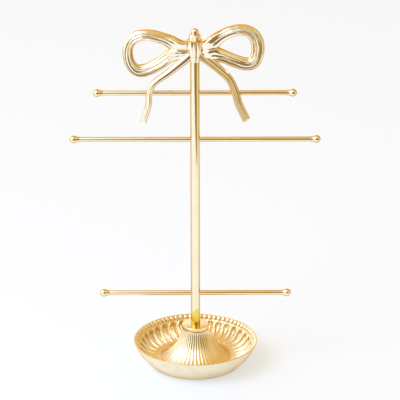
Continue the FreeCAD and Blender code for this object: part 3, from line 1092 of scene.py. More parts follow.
    def build_beads(self) -> bpy.types.Object:
        """Spins a leaning oval into a ring and nips it into beads, whose gaps sink into the bed.

        Returns:
            The ring of beads.
        """
        ring_r, ring_z = self.bead_middle
        long_half, short_half = self.bead_half
        circle = round_corner((0, 0), 1.0, first=0, last=360, count=self.bead_sides + 1)[:-1]
        section = [
            (
                ring_r + DIAGONAL * (long_half * along - short_half * across),
                ring_z + DIAGONAL * (long_half * along + short_half * across),
            )
            for along, across in circle
        ]
        piece = turned("bead_ring", section, self.bead_steps, self.bead_count)
        points = points_of(piece)
        radius, angle = polar(points)
        pitch = TURN / self.bead_count
        from_middle = 2 * (np.mod(angle / pitch + 0.5, 1) - 0.5) / self.bead_fill
        swell = np.maximum(np.sqrt(np.maximum(1 - from_middle**2, 0)), self.bead_nip)
        put_polar(points, ring_r + (radius - ring_r) * swell, angle)
        points[:, 2] = ring_z + (points[:, 2] - ring_z) * swell
        move_points(piece, points)
        # Painted shade in the gaps between the beads and painted highlight on their crowns.
        gap_tint, crown_tint = self.bead_tint
        mark_relief(piece, gap_tint + (crown_tint - gap_tint) * swell)
        shade(piece, crease=60)
        return piece

    def build_felt(self) -> bpy.types.Object:
        """Cuts a felt disc, insets its faces and softens its rim.

        Returns:
            The disc.
        """
        low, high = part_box("felt_pad")
        middle_z = (low.z + high.z) / 2
        piece = begin(
            bpy.ops.mesh.primitive_cylinder_add,
            "felt_disc",
            vertices=self.felt_sides,
            radius=self.felt_r,
            depth=high.z - low.z,
            location=(0, 0, middle_z),
        )
        select_faces(piece, lambda face: abs(face.normal.z) > FACING)
        for thickness in self.felt_insets:
            bpy.ops.mesh.inset(thickness=thickness)
        close_mesh()
        points = points_of(piece)
        radius, _ = polar(points)
        rim = radius > self.felt_r - self.felt_insets[0] / 2
        points[rim, 2] += np.where(points[rim, 2] > middle_z, -self.felt_round, self.felt_round)
        move_points(piece, points)
        shade(piece, crease=60)
        return piece

    def build(self, rack: FinishRack) -> None:
        """Builds and settles the dish, its beads and its felt.

        Args:
            rack: finishes of the stand.
        """
        rack.settle(self.build_shell(), CAST_GOLD, Body.BASE, "dish")
        rack.settle(self.build_beads(), CAST_GOLD, Body.BASE, "bead_border")
        felt = self.build_felt()
        rack.settle(felt, PRESSED_FELT, Body.BASE, "felt_pad")


@dataclass
class Pedestal:
    """Fluted cone and the collar on its top.

    Depths and flats of the flutes are shares of their pitch. The flank gets a painted highlight on each arris
    and painted shade in the middle of each flute, and the collar painted shade on its foot and a painted
    highlight on the rest.
    """

    flare: float = 4.7 * MM
    top_r: float = 13.2 * MM
    wall_t: float = 3.0 * MM
    roof_t: float = 4.0 * MM
    bore_r: float = 3.3 * MM
    flutes: int = 48
    flute_steps: int = 12
    flute_depth: float = 0.17
    arris_flat: float = 0.04
    # Painted highlight on the arrises and painted shade in the middle of the flutes.
    flank_tint: Point = (0.7, -0.2)
    rows: int = 30
    inner_rows: int = 8
    collar_bore_r: float = 3.1 * MM
    collar_round: float = 0.5 * MM
    collar_line_z: float = 1.1 * MM
    collar_line_depth: float = 0.3 * MM
    # Painted shade on the collar's foot, below its scribed line, and painted highlight on the rest.
    collar_tint: Point = (-0.8, 0.9)
    collar_steps: int = 160

    def build_cone(self) -> bpy.types.Object:
        """Turns the flared cone and cuts tapering flutes into its flank.

        Returns:
            The cone.
        """
        low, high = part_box("fluted_cone")
        flank = Arc((high.x, low.z), (self.top_r, high.z), -self.flare)
        roof_z = high.z - self.roof_t
        inner_heights = np.linspace(roof_z, low.z, self.inner_rows)
        profile = flank.points(self.rows)
        profile += [(self.bore_r, high.z), (self.bore_r, roof_z)]
        profile += [(flank.radius_at(height, -self.wall_t), height) for height in inner_heights]
        piece = turned("fluted_pedestal", profile, self.flute_steps, self.flutes)
        points = points_of(piece)
        radius, angle = polar(points)
        flank_r = flank.radius_at(np.clip(points[:, 2], low.z, high.z))
        on_flank = np.abs(radius - flank_r) < ON_SURFACE
        pitch = TURN / self.flutes
        index = np.floor(angle / pitch + SEAM)
        share = 2 * (angle / pitch - index) - 1
        # Points crowd towards the arrises, where the flute turns fastest.
        crowded = np.sin(share * math.pi / 2)
        angle = np.where(on_flank, (index + (crowded + 1) / 2) * pitch, angle)
        hollow = 1 - np.minimum(np.abs(crowded) / (1 - self.arris_flat), 1) ** 2
        depth = self.flute_depth * pitch * radius * hollow
        put_polar(points, np.where(on_flank, radius - depth, radius), angle)
        move_points(piece, points)
        # Painted highlight on the arrises and painted shade in the middle of the flutes.
        arris_tint, flute_tint = self.flank_tint
        mark_relief(piece, np.where(on_flank, arris_tint + (flute_tint - arris_tint) * hollow, 0))
        shade(piece, crease=30)
        return piece

    def build_collar(self) -> bpy.types.Object:
        """Turns the collar, with a fine line scribed over its lower edge.

        Returns:
            The collar.
        """
        low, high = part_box("post_collar")
        round_r = self.collar_round
        round_middle = high.x - round_r
        line_z = low.z + self.collar_line_z
        line_w = self.collar_line_depth
        profile = [(self.collar_bore_r, high.z)]
        profile += round_corner((round_middle, high.z - round_r), round_r, first=90, last=0, count=5)
        profile += [(high.x, line_z + line_w), (high.x - line_w, line_z), (high.x, line_z - line_w)]
        profile += round_corner((round_middle, low.z + round_r), round_r, first=0, last=-90, count=5)
        profile += [(self.collar_bore_r, low.z)]
        piece = turned("post_collar_ring", profile, self.collar_steps)
        heights = points_of(piece)[:, 2]
        # Painted shade on the collar's foot, below its scribed line, and painted highlight on the rest.
        mark_relief(piece, np.where(heights < line_z + line_w / 2, *self.collar_tint))
        shade(piece, crease=40)
        return piece

    def build(self, rack: FinishRack) -> None:
        """Builds and settles the cone and the collar.

        Args:
            rack: finishes of the stand.
        """
        rack.settle(self.build_cone(), FLUTED_GOLD, Body.BASE, "fluted_cone")
        rack.settle(self.build_collar(), FLUTED_GOLD, Body.BASE, "post_collar")


# Tree


@dataclass
class Tree:
    """Post with three crossbars and a ball on each bar end.

    The post's foot gets a painted reflection of the gold dish, up to foot_l and, in a pointed hood hood_at
    degrees right of the front, higher.
    """

    post_edge: float = 0.35 * MM
    # Painted reflection of the gold dish on the post's foot: its height, its pointed hood and its strength.
    foot_l: float = 11.5 * MM
    hood_h: float = 6.5 * MM
    hood_at: float = 20.0
    hood_half: float = 50.0
    hood_fade: float = 1.2 * MM
    hood_rows: int = 16
    foot_tint: float = -1.2
    post_steps: int = 120
    base_bore: Point = (3.05 * MM, 12.0 * MM)
    top_bore: Point = (2.55 * MM, 12.0 * MM)
    bar_fit: float = 0.02 * MM
    spigot_r: float = 1.5 * MM
    spigot_l: float = 5.0 * MM
    spigot_gap: float = 0.05 * MM
    bar_edge: float = 0.2 * MM
    neck_step: float = 0.3 * MM
    neck_share: float = 0.8
    rod_sides: int = 64
    ball_rings: int = 40
    bars: tuple[str, ...] = ("top_bar", "middle_bar", "bottom_bar")

    def build_post(self) -> bpy.types.Object:
        """Turns the post with its end bores and drills a cross hole for each bar.

        Returns:
            The post.
        """
        low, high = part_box("post")
        edge = self.post_edge
        base_r, base_l = self.base_bore
        top_r, top_l = self.top_bore
        profile = [(base_r, low.z), (high.x - edge, low.z), (high.x, low.z + edge)]
        hood_z = low.z + self.foot_l + self.hood_h + self.hood_fade
        profile += [(high.x, z) for z in np.linspace(low.z + self.foot_l / 2, hood_z, self.hood_rows)]
        for bar in reversed(self.bars):
            bar_low, bar_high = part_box(bar)
            profile += [(high.x, bar_low.z - edge), (high.x, bar_high.z + edge)]
        profile += [(high.x, high.z - edge), (high.x - edge, high.z), (top_r, high.z)]
        profile += [(top_r, high.z - top_l), (0, high.z - top_l)]
        profile += [(0, low.z + base_l), (base_r, low.z + base_l)]
        piece = turned("round_post", profile, self.post_steps)
        for bar in self.bars:
            bar_low, bar_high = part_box(bar)
            drill = begin(
                bpy.ops.mesh.primitive_cylinder_add,
                "drill",
                vertices=self.rod_sides,
                radius=(bar_high.z - bar_low.z) / 2 + self.bar_fit,
                depth=4 * high.x,
                location=(0, 0, (bar_low.z + bar_high.z) / 2),
                rotation=(0, math.pi / 2, 0),
            )
            bpy.ops.object.mode_set(mode="OBJECT")
            use_modifier(piece, "BOOLEAN", operation="DIFFERENCE", solver="EXACT", object=drill)
            bpy.data.objects.remove(drill)
        points = points_of(piece)
        # Painted reflection of the gold dish on the post's foot, higher in a pointed hood right of the front.
        to_right = np.degrees(np.arctan2(points[:, 0], -points[:, 1]))
        hood = self.hood_h * np.exp(-(((to_right - self.hood_at) / self.hood_half) ** 2))
        above = points[:, 2] - low.z - self.foot_l - hood
        mark_relief(piece, self.foot_tint * (1 - smooth_step(0.0, self.hood_fade, above)))
        shade(piece, crease=30)
        return piece

    def build_bar(self, bar: str) -> bpy.types.Object:
        """Draws a rod and turns a spigot on each end.

        Args:
            bar: node of the bar.

        Returns:
            The rod.
        """
        low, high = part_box(bar)
        radius = (high.z - low.z) / 2
        shoulder = high.x - self.spigot_l
        piece = begin(
            bpy.ops.mesh.primitive_cylinder_add,
            f"{bar}_rod",
            vertices=self.rod_sides,
            radius=radius,
            depth=2 * shoulder,
            location=(0, 0, (low.z + high.z) / 2),
            rotation=(0, math.pi / 2, 0),
        )
        for side in Side:
            select_faces(piece, lambda face: face.normal.x * side.value > FACING)
            bpy.ops.mesh.bevel(offset=self.bar_edge, segments=3, affect="EDGES")
            select_faces(piece, lambda face: face.normal.x * side.value > FACING)
            bpy.ops.mesh.inset(thickness=radius - self.bar_edge - self.spigot_r)
            push = (side.value * self.spigot_l, 0, 0)
            bpy.ops.mesh.extrude_region_move(TRANSFORM_OT_translate={"value": push})
            bpy.ops.mesh.bevel(offset=self.bar_edge, segments=2, affect="EDGES")
        close_mesh()
        shade(piece, crease=35)
        return piece

    def build_ball(self, bar: str) -> bpy.types.Object:
        """Cuts a sphere open towards -X, draws out its neck and bores its socket.

        Args:
            bar: node of a bar, which gives the sizes.

        Returns:
            The ball, with its middle at the origin.
        """
        low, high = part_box(self.ball_node(bar, Side.RIGHT))
        bar_low, bar_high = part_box(bar)
        ball_r = (high.z - low.z) / 2
        mouth_x = low.x - (high.x - ball_r)
        piece = begin(
            bpy.ops.mesh.primitive_uv_sphere_add,
            "ball_pattern",
            segments=self.rod_sides,
            ring_count=self.ball_rings,
            radius=ball_r,
            rotation=(0, math.pi / 2, 0),
        )
        neck_r = self.neck_share * ball_r
        cut_x = -math.sqrt(ball_r**2 - neck_r**2)
        bpy.ops.mesh.bisect(plane_co=(cut_x, 0, 0), plane_no=(1, 0, 0), clear_inner=True)
        bpy.ops.mesh.select_all(action="DESELECT")
        bpy.ops.mesh.select_mode(type="EDGE")
        bpy.ops.mesh.select_non_manifold()
        mouth_r = (bar_high.z - bar_low.z) / 2 + self.neck_step
        socket_r = self.spigot_r + self.spigot_gap
        half_neck = (mouth_x - cut_x) / 2
        pushes = (half_neck, half_neck, 0, self.spigot_l + self.spigot_gap)
        radii = ((neck_r + mouth_r) / 2 - self.bar_edge, mouth_r, socket_r, socket_r)
        for push, (width, radius) in zip(pushes, pairwise((neck_r, *radii))):
            bpy.ops.mesh.extrude_region_move(TRANSFORM_OT_translate={"value": (push, 0, 0)})
            share = radius / width
            bpy.ops.transform.resize(value=(1, share, share), center_override=self.selected_middle(piece))
        bpy.ops.mesh.edge_face_add()
        close_mesh()
        shade(piece, crease=35)
        return piece

    @staticmethod
    def ball_node(bar: str, side: Side) -> str:
        """Node of the ball on one end of a bar."""
        return f"{bar}_{side.name.lower()}_ball"

    @staticmethod
    def selected_middle(piece: bpy.types.Object) -> Vector:
        """Middle of the selected vertices.

        Args:
            piece: object that is open in edit mode.

        Returns:
            The mean of their places.
        """
        piece.update_from_editmode()
        chosen = [vertex.co for vertex in piece.data.vertices if vertex.select]
        return sum(chosen, Vector()) / len(chosen)

    @staticmethod
    def copy_ball(pattern: bpy.types.Object, node: str, side: Side) -> bpy.types.Object:
        """Copies the ball, with its own mesh, to the end of a bar.

        Args:
            pattern: ball with its middle at the origin and its mouth towards -X.
            node: node of the ball.
            side: end of the bar.

        Returns:
            The copy.
        """
        low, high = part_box(node)
        ball_r = (high.z - low.z) / 2
        outer_x = max(abs(low.x), abs(high.x))
        select_only(pattern)
        bpy.ops.object.duplicate()
        piece = bpy.context.object
        piece.name = f"{node}_knob"
        piece.data.name = piece.name
        piece.location = (side.value * (outer_x - ball_r), 0, (low.z + high.z) / 2)
        if side is Side.LEFT:
            piece.rotation_euler.z = math.pi
        bpy.ops.object.transform_apply(location=True, rotation=True, scale=True)
        return piece

    def build(self, rack: FinishRack) -> None:
        """Builds and settles the post, the bars and the balls.

        Args:
            rack: finishes of the stand.
        """
        rack.settle(self.build_post(), POLISHED_GOLD, Body.TREE, "post")
        pattern = self.build_ball(self.bars[0])
        for bar in self.bars:
            rack.settle(self.build_bar(bar), POLISHED_GOLD, Body.TREE, bar)
            for side in Side:
                node = self.ball_node(bar, side)
                rack.settle(self.copy_ball(pattern, node, side), POLISHED_GOLD, Body.TREE, node)
        bpy.data.objects.remove(pattern)


# Bow


def crisp(wave: np.ndarray, sharpness: float) -> np.ndarray:
    """Makes folds of a sine wave, with ridges the crisper the nearer sharpness is to 1."""
    return np.arcsin(sharpness * wave) / math.asin(sharpness)


def fold_tint(fold: np.ndarray, valley: float, deepening: float) -> np.ndarray:
    """Light and shade painted on folded metal: a highlight on the ridges, and shade that deepens in the
    valleys.

    Args:
        fold: height of the folds, from about -1 to 1.
        valley: depth below which a fold gets painted shade.
        deepening: how fast the painted shade grows below that.

    Returns:
        One value for each point.
    """
    return RIDGE_TINT - deepening * np.maximum(-fold - valley, 0)


def across_section(angle: np.ndarray) -> np.ndarray:
    """Place across a flat section, from 1 to -1, with points even on its faces and close at its edges."""
    return (np.cos(angle) + 1 - 2 * np.abs(angle) / math.pi) / 2


@dataclass(frozen=True)
class Wave:
    """Slow wave over a ribbon: its size, its rates along and across, and how far the seed shifts it."""

    size: float
    along: float
    across: float
    shift: float

    def at(self, along: np.ndarray, across: np.ndarray, start: float) -> np.ndarray:
        """Height of the wave at each place."""
        return self.size * np.sin(self.along * along + self.across * across + self.shift * start)


@dataclass(frozen=True)
class Pleats:
    """Lengthwise folds of a gathered ribbon, which wander, rise and fade along it.

    count is the number of folds across the ribbon, and sharpness, below 1, how crisp their ridges are.
    """

    count: float
    sharpness: float
    seed: float
    drifts: tuple[Wave, ...] = (
        Wave(size=0.8, along=0.37, across=0.0, shift=1.0),
        Wave(size=0.5, along=0.9, across=2.0, shift=3.0),
    )
    swell: Wave = Wave(size=0.35, along=1.1, across=3.0, shift=5.0)
    mean_h: float = 0.8

    def field(self, across: np.ndarray, along: np.ndarray) -> np.ndarray:
        """Height of the folds.

        Args:
            across: place across the ribbon, from -1 to 1.
            along: distance along the ribbon in ribbon widths.

        Returns:
            The height at each point, about -1 in a valley and 1 on a ridge.
        """
        start = TURN * self.seed
        drift = sum(wave.at(along, across, start) for wave in self.drifts)
        ridge = crisp(np.sin(math.pi * self.count * across + drift), self.sharpness)
        return ridge * (self.mean_h + self.swell.at(along, across, start))


@dataclass(frozen=True)
class BowLoop:
    """Ribbon loop: a gathered band along a teardrop from the knot's side out and back.

    Both strands are drawn together near the knot, and gathered there into one. A squareness is the power of
    a section's rounding, and an overhang how far its face leans forward. Spans of the strands are shares of
    the way round, and the tip's span shares of the length.
    """

    name: str
    node: str
    seed: float
    side: Side
    length: float
    height: float
    tilt: float
    rise: float
    upper_pinch: float
    lower_pinch: float
    lower_draw: float
    root_x: float = 6.0 * MM
    upper_width: float = 11.8 * MM
    lower_width: float = 13.0 * MM
    tip_width: float = 13.0 * MM
    depth: float = 8.6 * MM
    root_depth: float = 10.0 * MM
    gather_depth: float = 12.5 * MM
    gather_overlap: float = 4.6 * MM
    squareness: float = 2.7
    gather_square: float = 3.0
    gather_overhang: float = 0.3
    lower_overhang: float = -0.12
    gather_calm: float = 0.8
    pleat_h: float = 0.42 * MM
    wave_h: float = 0.2 * MM
    root_spread: float = 8.8 * MM
    upper_draw: float = 2.0 * MM
    upper_draw_at: float = 9.0 * MM
    lower_draw_at: float = 17.0 * MM
    draw_w: float = 9.0 * MM
    gather_span: Point = (9.0 * MM, 24.0 * MM)
    root_span: Point = (1.5 * MM, 8.0 * MM)
    strand_span: Point = (0.35, 0.65)
    overhang_span: Point = (0.5, 0.6)
    tip_span: Point = (0.82, 0.98)
    end_power: int = 60
    wave_size: float = 5.0 * MM
    folds: int = 4
    fold_sharpness: float = 0.8
    # Depth below which a pleat's valley gets painted shade, and how fast the shade deepens.
    valley: float = 0.4
    deepening: float = 2.6
    line_steps: int = 3000
    sides: int = 120
    rings: int = 330

    def centreline(self, turn: np.ndarray) -> np.ndarray:
        """Points of the centreline in the loop's own plane, outwards and up from the root.

        Args:
            turn: angle that runs once round the loop.

        Returns:
            Rows of distance outwards and height.
        """
        upper = turn < math.pi
        pinch = np.where(upper, self.upper_pinch, self.lower_pinch)
        peak = np.arccos(-pinch / (pinch + 2))
        scale = np.sin(peak) * np.sin(peak / 2) ** pinch
        swell = np.sin(turn) * np.abs(np.sin(turn / 2)) ** pinch / scale
        out = self.length * (1 - np.cos(turn)) / 2
        up = self.root_spread / 2 * np.cos(turn / 2) + self.height / 2 * swell
        draw_at = np.where(upper, self.upper_draw_at, self.lower_draw_at)
        drawn = np.exp(-(((out - draw_at) / self.draw_w) ** 2))
        up += np.where(upper, -self.upper_draw, self.lower_draw) * drawn
        return np.stack([out, up], axis=-1)

    def follow(self, share: np.ndarray) -> tuple[np.ndarray, np.ndarray]:
        """Finds places on the centreline.

        Args:
            share: share of the way along it.

        Returns:
            The distance along it, and the angle that runs round the loop.
        """
        turns = np.linspace(0, TURN, self.line_steps)
        line = self.centreline(turns)
        lengths = np.concatenate([[0], np.cumsum(np.linalg.norm(np.diff(line, axis=0), axis=1))])
        along = share * lengths[-1]
        return along, np.interp(along, lengths, turns)

    def heading(self, turn: np.ndarray) -> np.ndarray:
        """Direction of the centreline.

        Args:
            turn: angle that runs once round the loop.

        Returns:
            Rows of unit steps outwards and up.
        """
        behind = self.centreline(np.maximum(turn - STEP, 0))
        ahead = self.centreline(np.minimum(turn + STEP, TURN)) - behind
        return ahead / np.maximum(np.linalg.norm(ahead, axis=1, keepdims=True), TINY)

    def width(self, share: np.ndarray, turn: np.ndarray, gathered: np.ndarray) -> np.ndarray:
        """Width of the ribbon, whose strands overlap where they are gathered.

        Args:
            share: share of the way along the centreline.
            turn: angle that runs once round the loop.
            gathered: how far the ribbon is gathered, from 0 to 1.

        Returns:
            The width at each place.
        """
        out, up = self.centreline(turn).T
        partner_up = self.centreline(TURN - turn)[:, 1]
        strand_gap = np.abs(up - partner_up) * np.abs(self.heading(turn)[:, 0])
        lower = smooth_step(*self.strand_span, share)
        strand = self.upper_width + (self.lower_width - self.upper_width) * lower
        strand += (self.tip_width - strand) * smooth_step(*self.tip_span, out / self.length)
        overlap = self.gather_overlap * gathered
        return np.where(out < self.length / 2, np.minimum(strand, strand_gap) + overlap, strand)

    def build(self, top_z: float) -> bpy.types.Object:
        """Lays a creased tube along the loop.

        Args:
            top_z: height of the post's top.

        Returns:
            The loop.
        """
        piece, share, angle = tube(self.name, self.sides, self.rings)
        along, turn = self.follow(share)
        centre = self.centreline(turn)
        ahead = self.heading(turn)
        across = np.stack([-ahead[:, 1], ahead[:, 0]], axis=1)
        gathered = 1 - smooth_step(*self.gather_span, centre[:, 0])
        depth = self.depth + (self.gather_depth - self.depth) * gathered
        depth = self.root_depth + (depth - self.root_depth) * smooth_step(*self.root_span, centre[:, 0])
        flat = across_section(angle)
        power = self.squareness + self.gather_square * gathered
        edge = np.sqrt(np.clip(1 - np.abs(flat) ** power, 0, 1))
        fold = Pleats(self.folds, self.fold_sharpness, self.seed).field(flat, along / self.lower_width)
        fold *= 1 - self.gather_calm * gathered
        closing = np.sqrt(np.clip(1 - np.abs(2 * share - 1) ** self.end_power, 0, 1))
        from_line = flat * self.width(share, turn, gathered) / 2
        in_plane = centre + across * from_line[:, None]
        forward = np.where(angle < 0, -edge, edge) * (depth / 2 + self.pleat_h * fold) * closing
        overhang = self.gather_overhang * gathered
        overhang += self.lower_overhang * smooth_step(*self.overhang_span, share)
        forward -= overhang * closing * from_line * across[:, 1]
        lean = math.radians(self.tilt)
        out = in_plane[:, 0] * math.cos(lean) - in_plane[:, 1] * math.sin(lean)
        up = in_plane[:, 0] * math.sin(lean) + in_plane[:, 1] * math.cos(lean)
        points = np.stack([self.side.value * (self.root_x + out), forward, top_z + self.rise + up], axis=1)
        wave = ripple(points, self.wave_size, self.seed) * self.wave_h * (1 + gathered) * closing
        points[:, 1] += wave * np.sign(angle)
        points[:, 2] += wave * np.sign(in_plane[:, 1])
        move_points(piece, points)
        # Painted highlight on the pleats' ridges and painted shade in their valleys.
        mark_relief(piece, fold_tint(fold, self.valley, self.deepening))
        bpy.ops.object.mode_set(mode="EDIT")
        close_mesh()
        shade(piece, crease=60)
        return piece


@dataclass(frozen=True)
class BowTail:
    """Ribbon tail that leaves the knot and hangs in front of the top bar.

    path runs as (x, z above the post's top), widths are those at the root, the waist and the end,
    and crest is where across the ribbon, from -1 at its left edge to 1, its pleat stands forward.
    The pleat starts set back into the knot and comes forward over set_back_span of the way down.
    """

    name: str
    node: str
    path: tuple[Point, ...]
    widths: tuple[float, float, float]
    crest: float
    crest_h: float
    crest_round: float
    ribs: int
    notch: float
    slant: float
    rib_h: float = 0.3 * MM
    thickness: float = 3.0 * MM
    forward: float = 9.0 * MM
    root_forward: float = 0.25
    forward_x: float = 34.0 * MM
    squareness: float = 4.0
    waist_at: float = 0.5
    set_back: float = 0.5
    set_back_span: Point = (0.1, 0.5)
    rib_sway: float = 0.2
    rib_sway_rate: float = 9.0
    # Painted light on the tail: a faint highlight all over, more on the ribs, and a little shade between
    # them.
    rib_tint: Point = (0.2, 0.3)
    end_share: float = 0.03
    line_steps: int = 800
    sides: int = 96
    rings: int = 150

    def line(self, share: np.ndarray) -> np.ndarray:
        """Smooth line through the path's points.

        Args:
            share: share of the way down the tail.

        Returns:
            Rows of X, Y and Z, with Z above the post's top.
        """
        knots = np.array(self.path)
        reach = np.clip(np.abs(knots[:, 0]) / self.forward_x, 0, 1)
        y = -self.forward * (self.root_forward + (1 - self.root_forward) * reach)
        knots = np.stack([knots[:, 0], y, knots[:, 1]], axis=1)
        knots = np.vstack([2 * knots[0] - knots[1], knots, 2 * knots[-1] - knots[-2]])
        place = share * (len(self.path) - 1)
        index = np.clip(place.astype(int), 0, len(self.path) - 2)
        part = (place - index)[:, None]
        before, start, end, after = (knots[index + offset] for offset in range(4))
        slope_in = (end - before) / 2
        slope_out = (after - start) / 2
        square, cube = part**2, part**3
        curve = (2 * cube - 3 * square + 1) * start + (cube - 2 * square + part) * slope_in
        return curve + (-2 * cube + 3 * square) * end + (cube - square) * slope_out

    def pleat(self, flat: np.ndarray, share: np.ndarray) -> np.ndarray:
        """How far the pleat stands forward.

        Args:
            flat: place across the ribbon, from -1 to 1.
            share: share of the way down the tail.

        Returns:
            The distance at each point.
        """
        spread = np.where(flat < self.crest, (flat + 1) / (self.crest + 1), (1 - flat) / (1 - self.crest))
        rounded = np.sin(math.pi / 2 * spread)
        behind = self.set_back * (1 - smooth_step(*self.set_back_span, share))
        return self.crest_h * (spread + self.crest_round * (rounded - spread) - behind)

    def build(self, top_z: float) -> bpy.types.Object:
        """Lays a pleated ribbon along the tail and cuts its end.

        Args:
            top_z: height of the post's top.

        Returns:
            The tail.
        """
        piece, share, angle = tube(self.name, self.sides, self.rings)
        flat = across_section(angle)
        thick = np.sign(angle) * np.sqrt(np.clip(1 - np.abs(flat) ** self.squareness, 0, 1))
        lines = self.line(np.linspace(0, 1, self.line_steps))
        total = np.linalg.norm(np.diff(lines, axis=0), axis=1).sum()
        cut = self.notch * (1 - np.abs(flat)) + self.slant * (1 + flat) / 2
        place = share * (1 - cut / total)
        ahead = self.line(np.minimum(place + STEP, 1)) - self.line(np.maximum(place - STEP, 0))
        ahead /= np.linalg.norm(ahead, axis=1, keepdims=True)
        # Across points to the right of the picture, and through to the front.
        across = np.cross(np.array([0.0, -1.0, 0.0]), ahead)
        across /= np.linalg.norm(across, axis=1, keepdims=True)
        through = np.cross(ahead, across)
        width = np.interp(share, (0, self.waist_at, 1), self.widths)
        sway = self.rib_sway * np.sin(self.rib_sway_rate * share)
        grooves = np.cos(self.ribs * (math.pi * flat + sway)) * np.maximum(thick, 0)
        tip = np.clip((np.abs(2 * share - 1) - (1 - self.end_share)) / self.end_share, 0, 1)
        body = thick * self.thickness / 2 + self.rib_h * grooves * (1 - tip)
        offset = body * np.sqrt(1 - tip**2) + self.pleat(flat, share)
        points = self.line(place) + across * (flat * width / 2)[:, None] + through * offset[:, None]
        points[:, 2] += top_z
        move_points(piece, points)
        # Painted light on the tail: a faint highlight all over, more on the ribs, and a little shade between
        # them.
        plain_tint, groove_tint = self.rib_tint
        mark_relief(piece, plain_tint + groove_tint * grooves)
        bpy.ops.object.mode_set(mode="EDIT")
        close_mesh()
        shade(piece, crease=50)
        return piece


def in_mm(*points: Point) -> tuple[Point, ...]:
    """Points that are given in millimetres, in metres."""
    return tuple((x * MM, z * MM) for x, z in points)


LEFT_LOOP = BowLoop(
    name="left_ribbon_loop",
    node="bow_left_loop",
    seed=0.13,
    side=Side.LEFT,
    length=60.2 * MM,
    height=32.6 * MM,
    tilt=-4.7,
    rise=12.1 * MM,
    upper_pinch=1.9,
    lower_pinch=3.4,
    lower_draw=2.6 * MM,
    tip_width=10.6 * MM,
)
RIGHT_LOOP = BowLoop(
    name="right_ribbon_loop",
    node="bow_right_loop",
    seed=0.71,
    side=Side.RIGHT,
    length=56.3 * MM,
    height=31.6 * MM,
    tilt=4.7,
    rise=10.9 * MM,
    upper_pinch=1.6,
    lower_pinch=3.6,
    lower_draw=0.7 * MM,
)
LEFT_TAIL = BowTail(
    name="left_ribbon_tail",
    node="bow_left_tail",
    path=in_mm((-3, 8), (-9.5, 2.5), (-25.8, -9.6), (-39.8, -19.5), (-45, -30), (-46, -43.5), (-51.4, -61.5)),
    widths=(9.5 * MM, 6.6 * MM, 6.2 * MM),
    crest=0.2,
    crest_h=2.2 * MM,
    crest_round=1.0,
    ribs=0,
    notch=3.5 * MM,
    slant=0.0,
)
RIGHT_TAIL = BowTail(
    name="right_ribbon_tail",
    node="bow_right_tail",
    path=in_mm((3, 10), (11, 3.5), (23.6, -6.3), (33.8, -15.8), (39.4, -28), (43.3, -42), (51.2, -59.3)),
    widths=(11.5 * MM, 8.0 * MM, 8.4 * MM),
    crest=-0.6,
    crest_h=3.4 * MM,
    crest_round=0.0,
    ribs=3,
    notch=0.0,
    slant=0.6 * MM,
)


@dataclass
class Bow:
    """Cast ribbon bow: knot, two loops and two tails.

    The knot's folds crowd and spread by fold_sway round it and lean by fold_lean up it. Its one deep crease
    lies crease_at degrees right of the front. A crease as deep as crease_tint is painted one full step darker
    in shade.
    """

    knot_bulge: float = 0.6 * MM
    knot_taper: float = 2.6 * MM
    knot_square: float = 3.2
    knot_bore_r: float = 2.6 * MM
    knot_rows: int = 30
    knot_steps: int = 240
    knot_folds: int = 13
    fold_h: float = 0.3 * MM
    fold_sharpness: float = 0.8
    fold_sway: float = 0.8
    fold_sway_start: float = 1.0
    fold_lean: float = 0.6
    lean_rate: float = 3.0
    # Depth below which a knot fold's valley gets painted shade, and how fast the shade deepens.
    valley: float = 0.5
    deepening: float = 2.2
    crease_at: float = 10.0
    crease_half: float = 5.0
    crease_sway: float = 2.0
    crease_depth: float = 0.9 * MM
    # Crease depth at which the crease's painted shade is a full step darker.
    crease_tint: float = 0.6 * MM
    loops: tuple[BowLoop, ...] = (LEFT_LOOP, RIGHT_LOOP)
    tails: tuple[BowTail, ...] = (LEFT_TAIL, RIGHT_TAIL)

    def build_knot(self) -> bpy.types.Object:
        """Turns the knot's barrel, squares it and presses its upright creases.

        Returns:
            The knot.
        """
        low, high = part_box("bow_knot")
        top_r = high.x - self.knot_bulge
        bottom_r = top_r - self.knot_taper
        side = Arc((bottom_r, low.z), (top_r, high.z), self.knot_bulge)
        profile = [(self.knot_bore_r, low.z), *side.points(self.knot_rows), (self.knot_bore_r, high.z)]
        piece = turned("bow_wrap", profile, self.knot_steps)
        points = points_of(piece)
        radius, angle = polar(points)
        to_right = np.degrees(angle) + 90
        lean = np.sin(self.lean_rate * (points[:, 2] - low.z) / (high.z - low.z))
        sway = self.fold_sway * np.sin(2 * angle + self.fold_sway_start)
        wave = -np.sin(self.knot_folds * angle + sway + self.fold_lean * lean)
        ridge = crisp(wave, self.fold_sharpness)
        gap = np.abs(to_right - self.crease_at - self.crease_sway * lean)
        crease = self.crease_depth * np.exp(-gap / self.crease_half)
        outside = radius > (self.knot_bore_r + bottom_r) / 2
        pressed = self.fold_h * (1 - ridge) / 2 + crease
        power = self.knot_square
        squared = (np.abs(np.cos(angle)) ** power + np.abs(np.sin(angle)) ** power) ** (-1 / power)
        put_polar(points, np.where(outside, radius * squared - pressed, radius), angle)
        move_points(piece, points)
        # Painted highlight on the knot's fold ridges, painted shade in their valleys, and deeper painted
        # shade along the crease.
        tint = fold_tint(ridge, self.valley, self.deepening) - crease / self.crease_tint
        mark_relief(piece, np.where(outside, tint, 0))
        shade(piece, crease=50)
        return piece

    def build(self, rack: FinishRack) -> None:
        """Builds and settles the knot, the loops and the tails.

        Args:
            rack: finishes of the stand.
        """
        top_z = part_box("bow_knot")[0].z
        rack.settle(self.build_knot(), BOW_GOLD, Body.BOW, "bow_knot")
        for ribbon in (*self.loops, *self.tails):
            rack.settle(ribbon.build(top_z), BOW_GOLD, Body.BOW, ribbon.node)


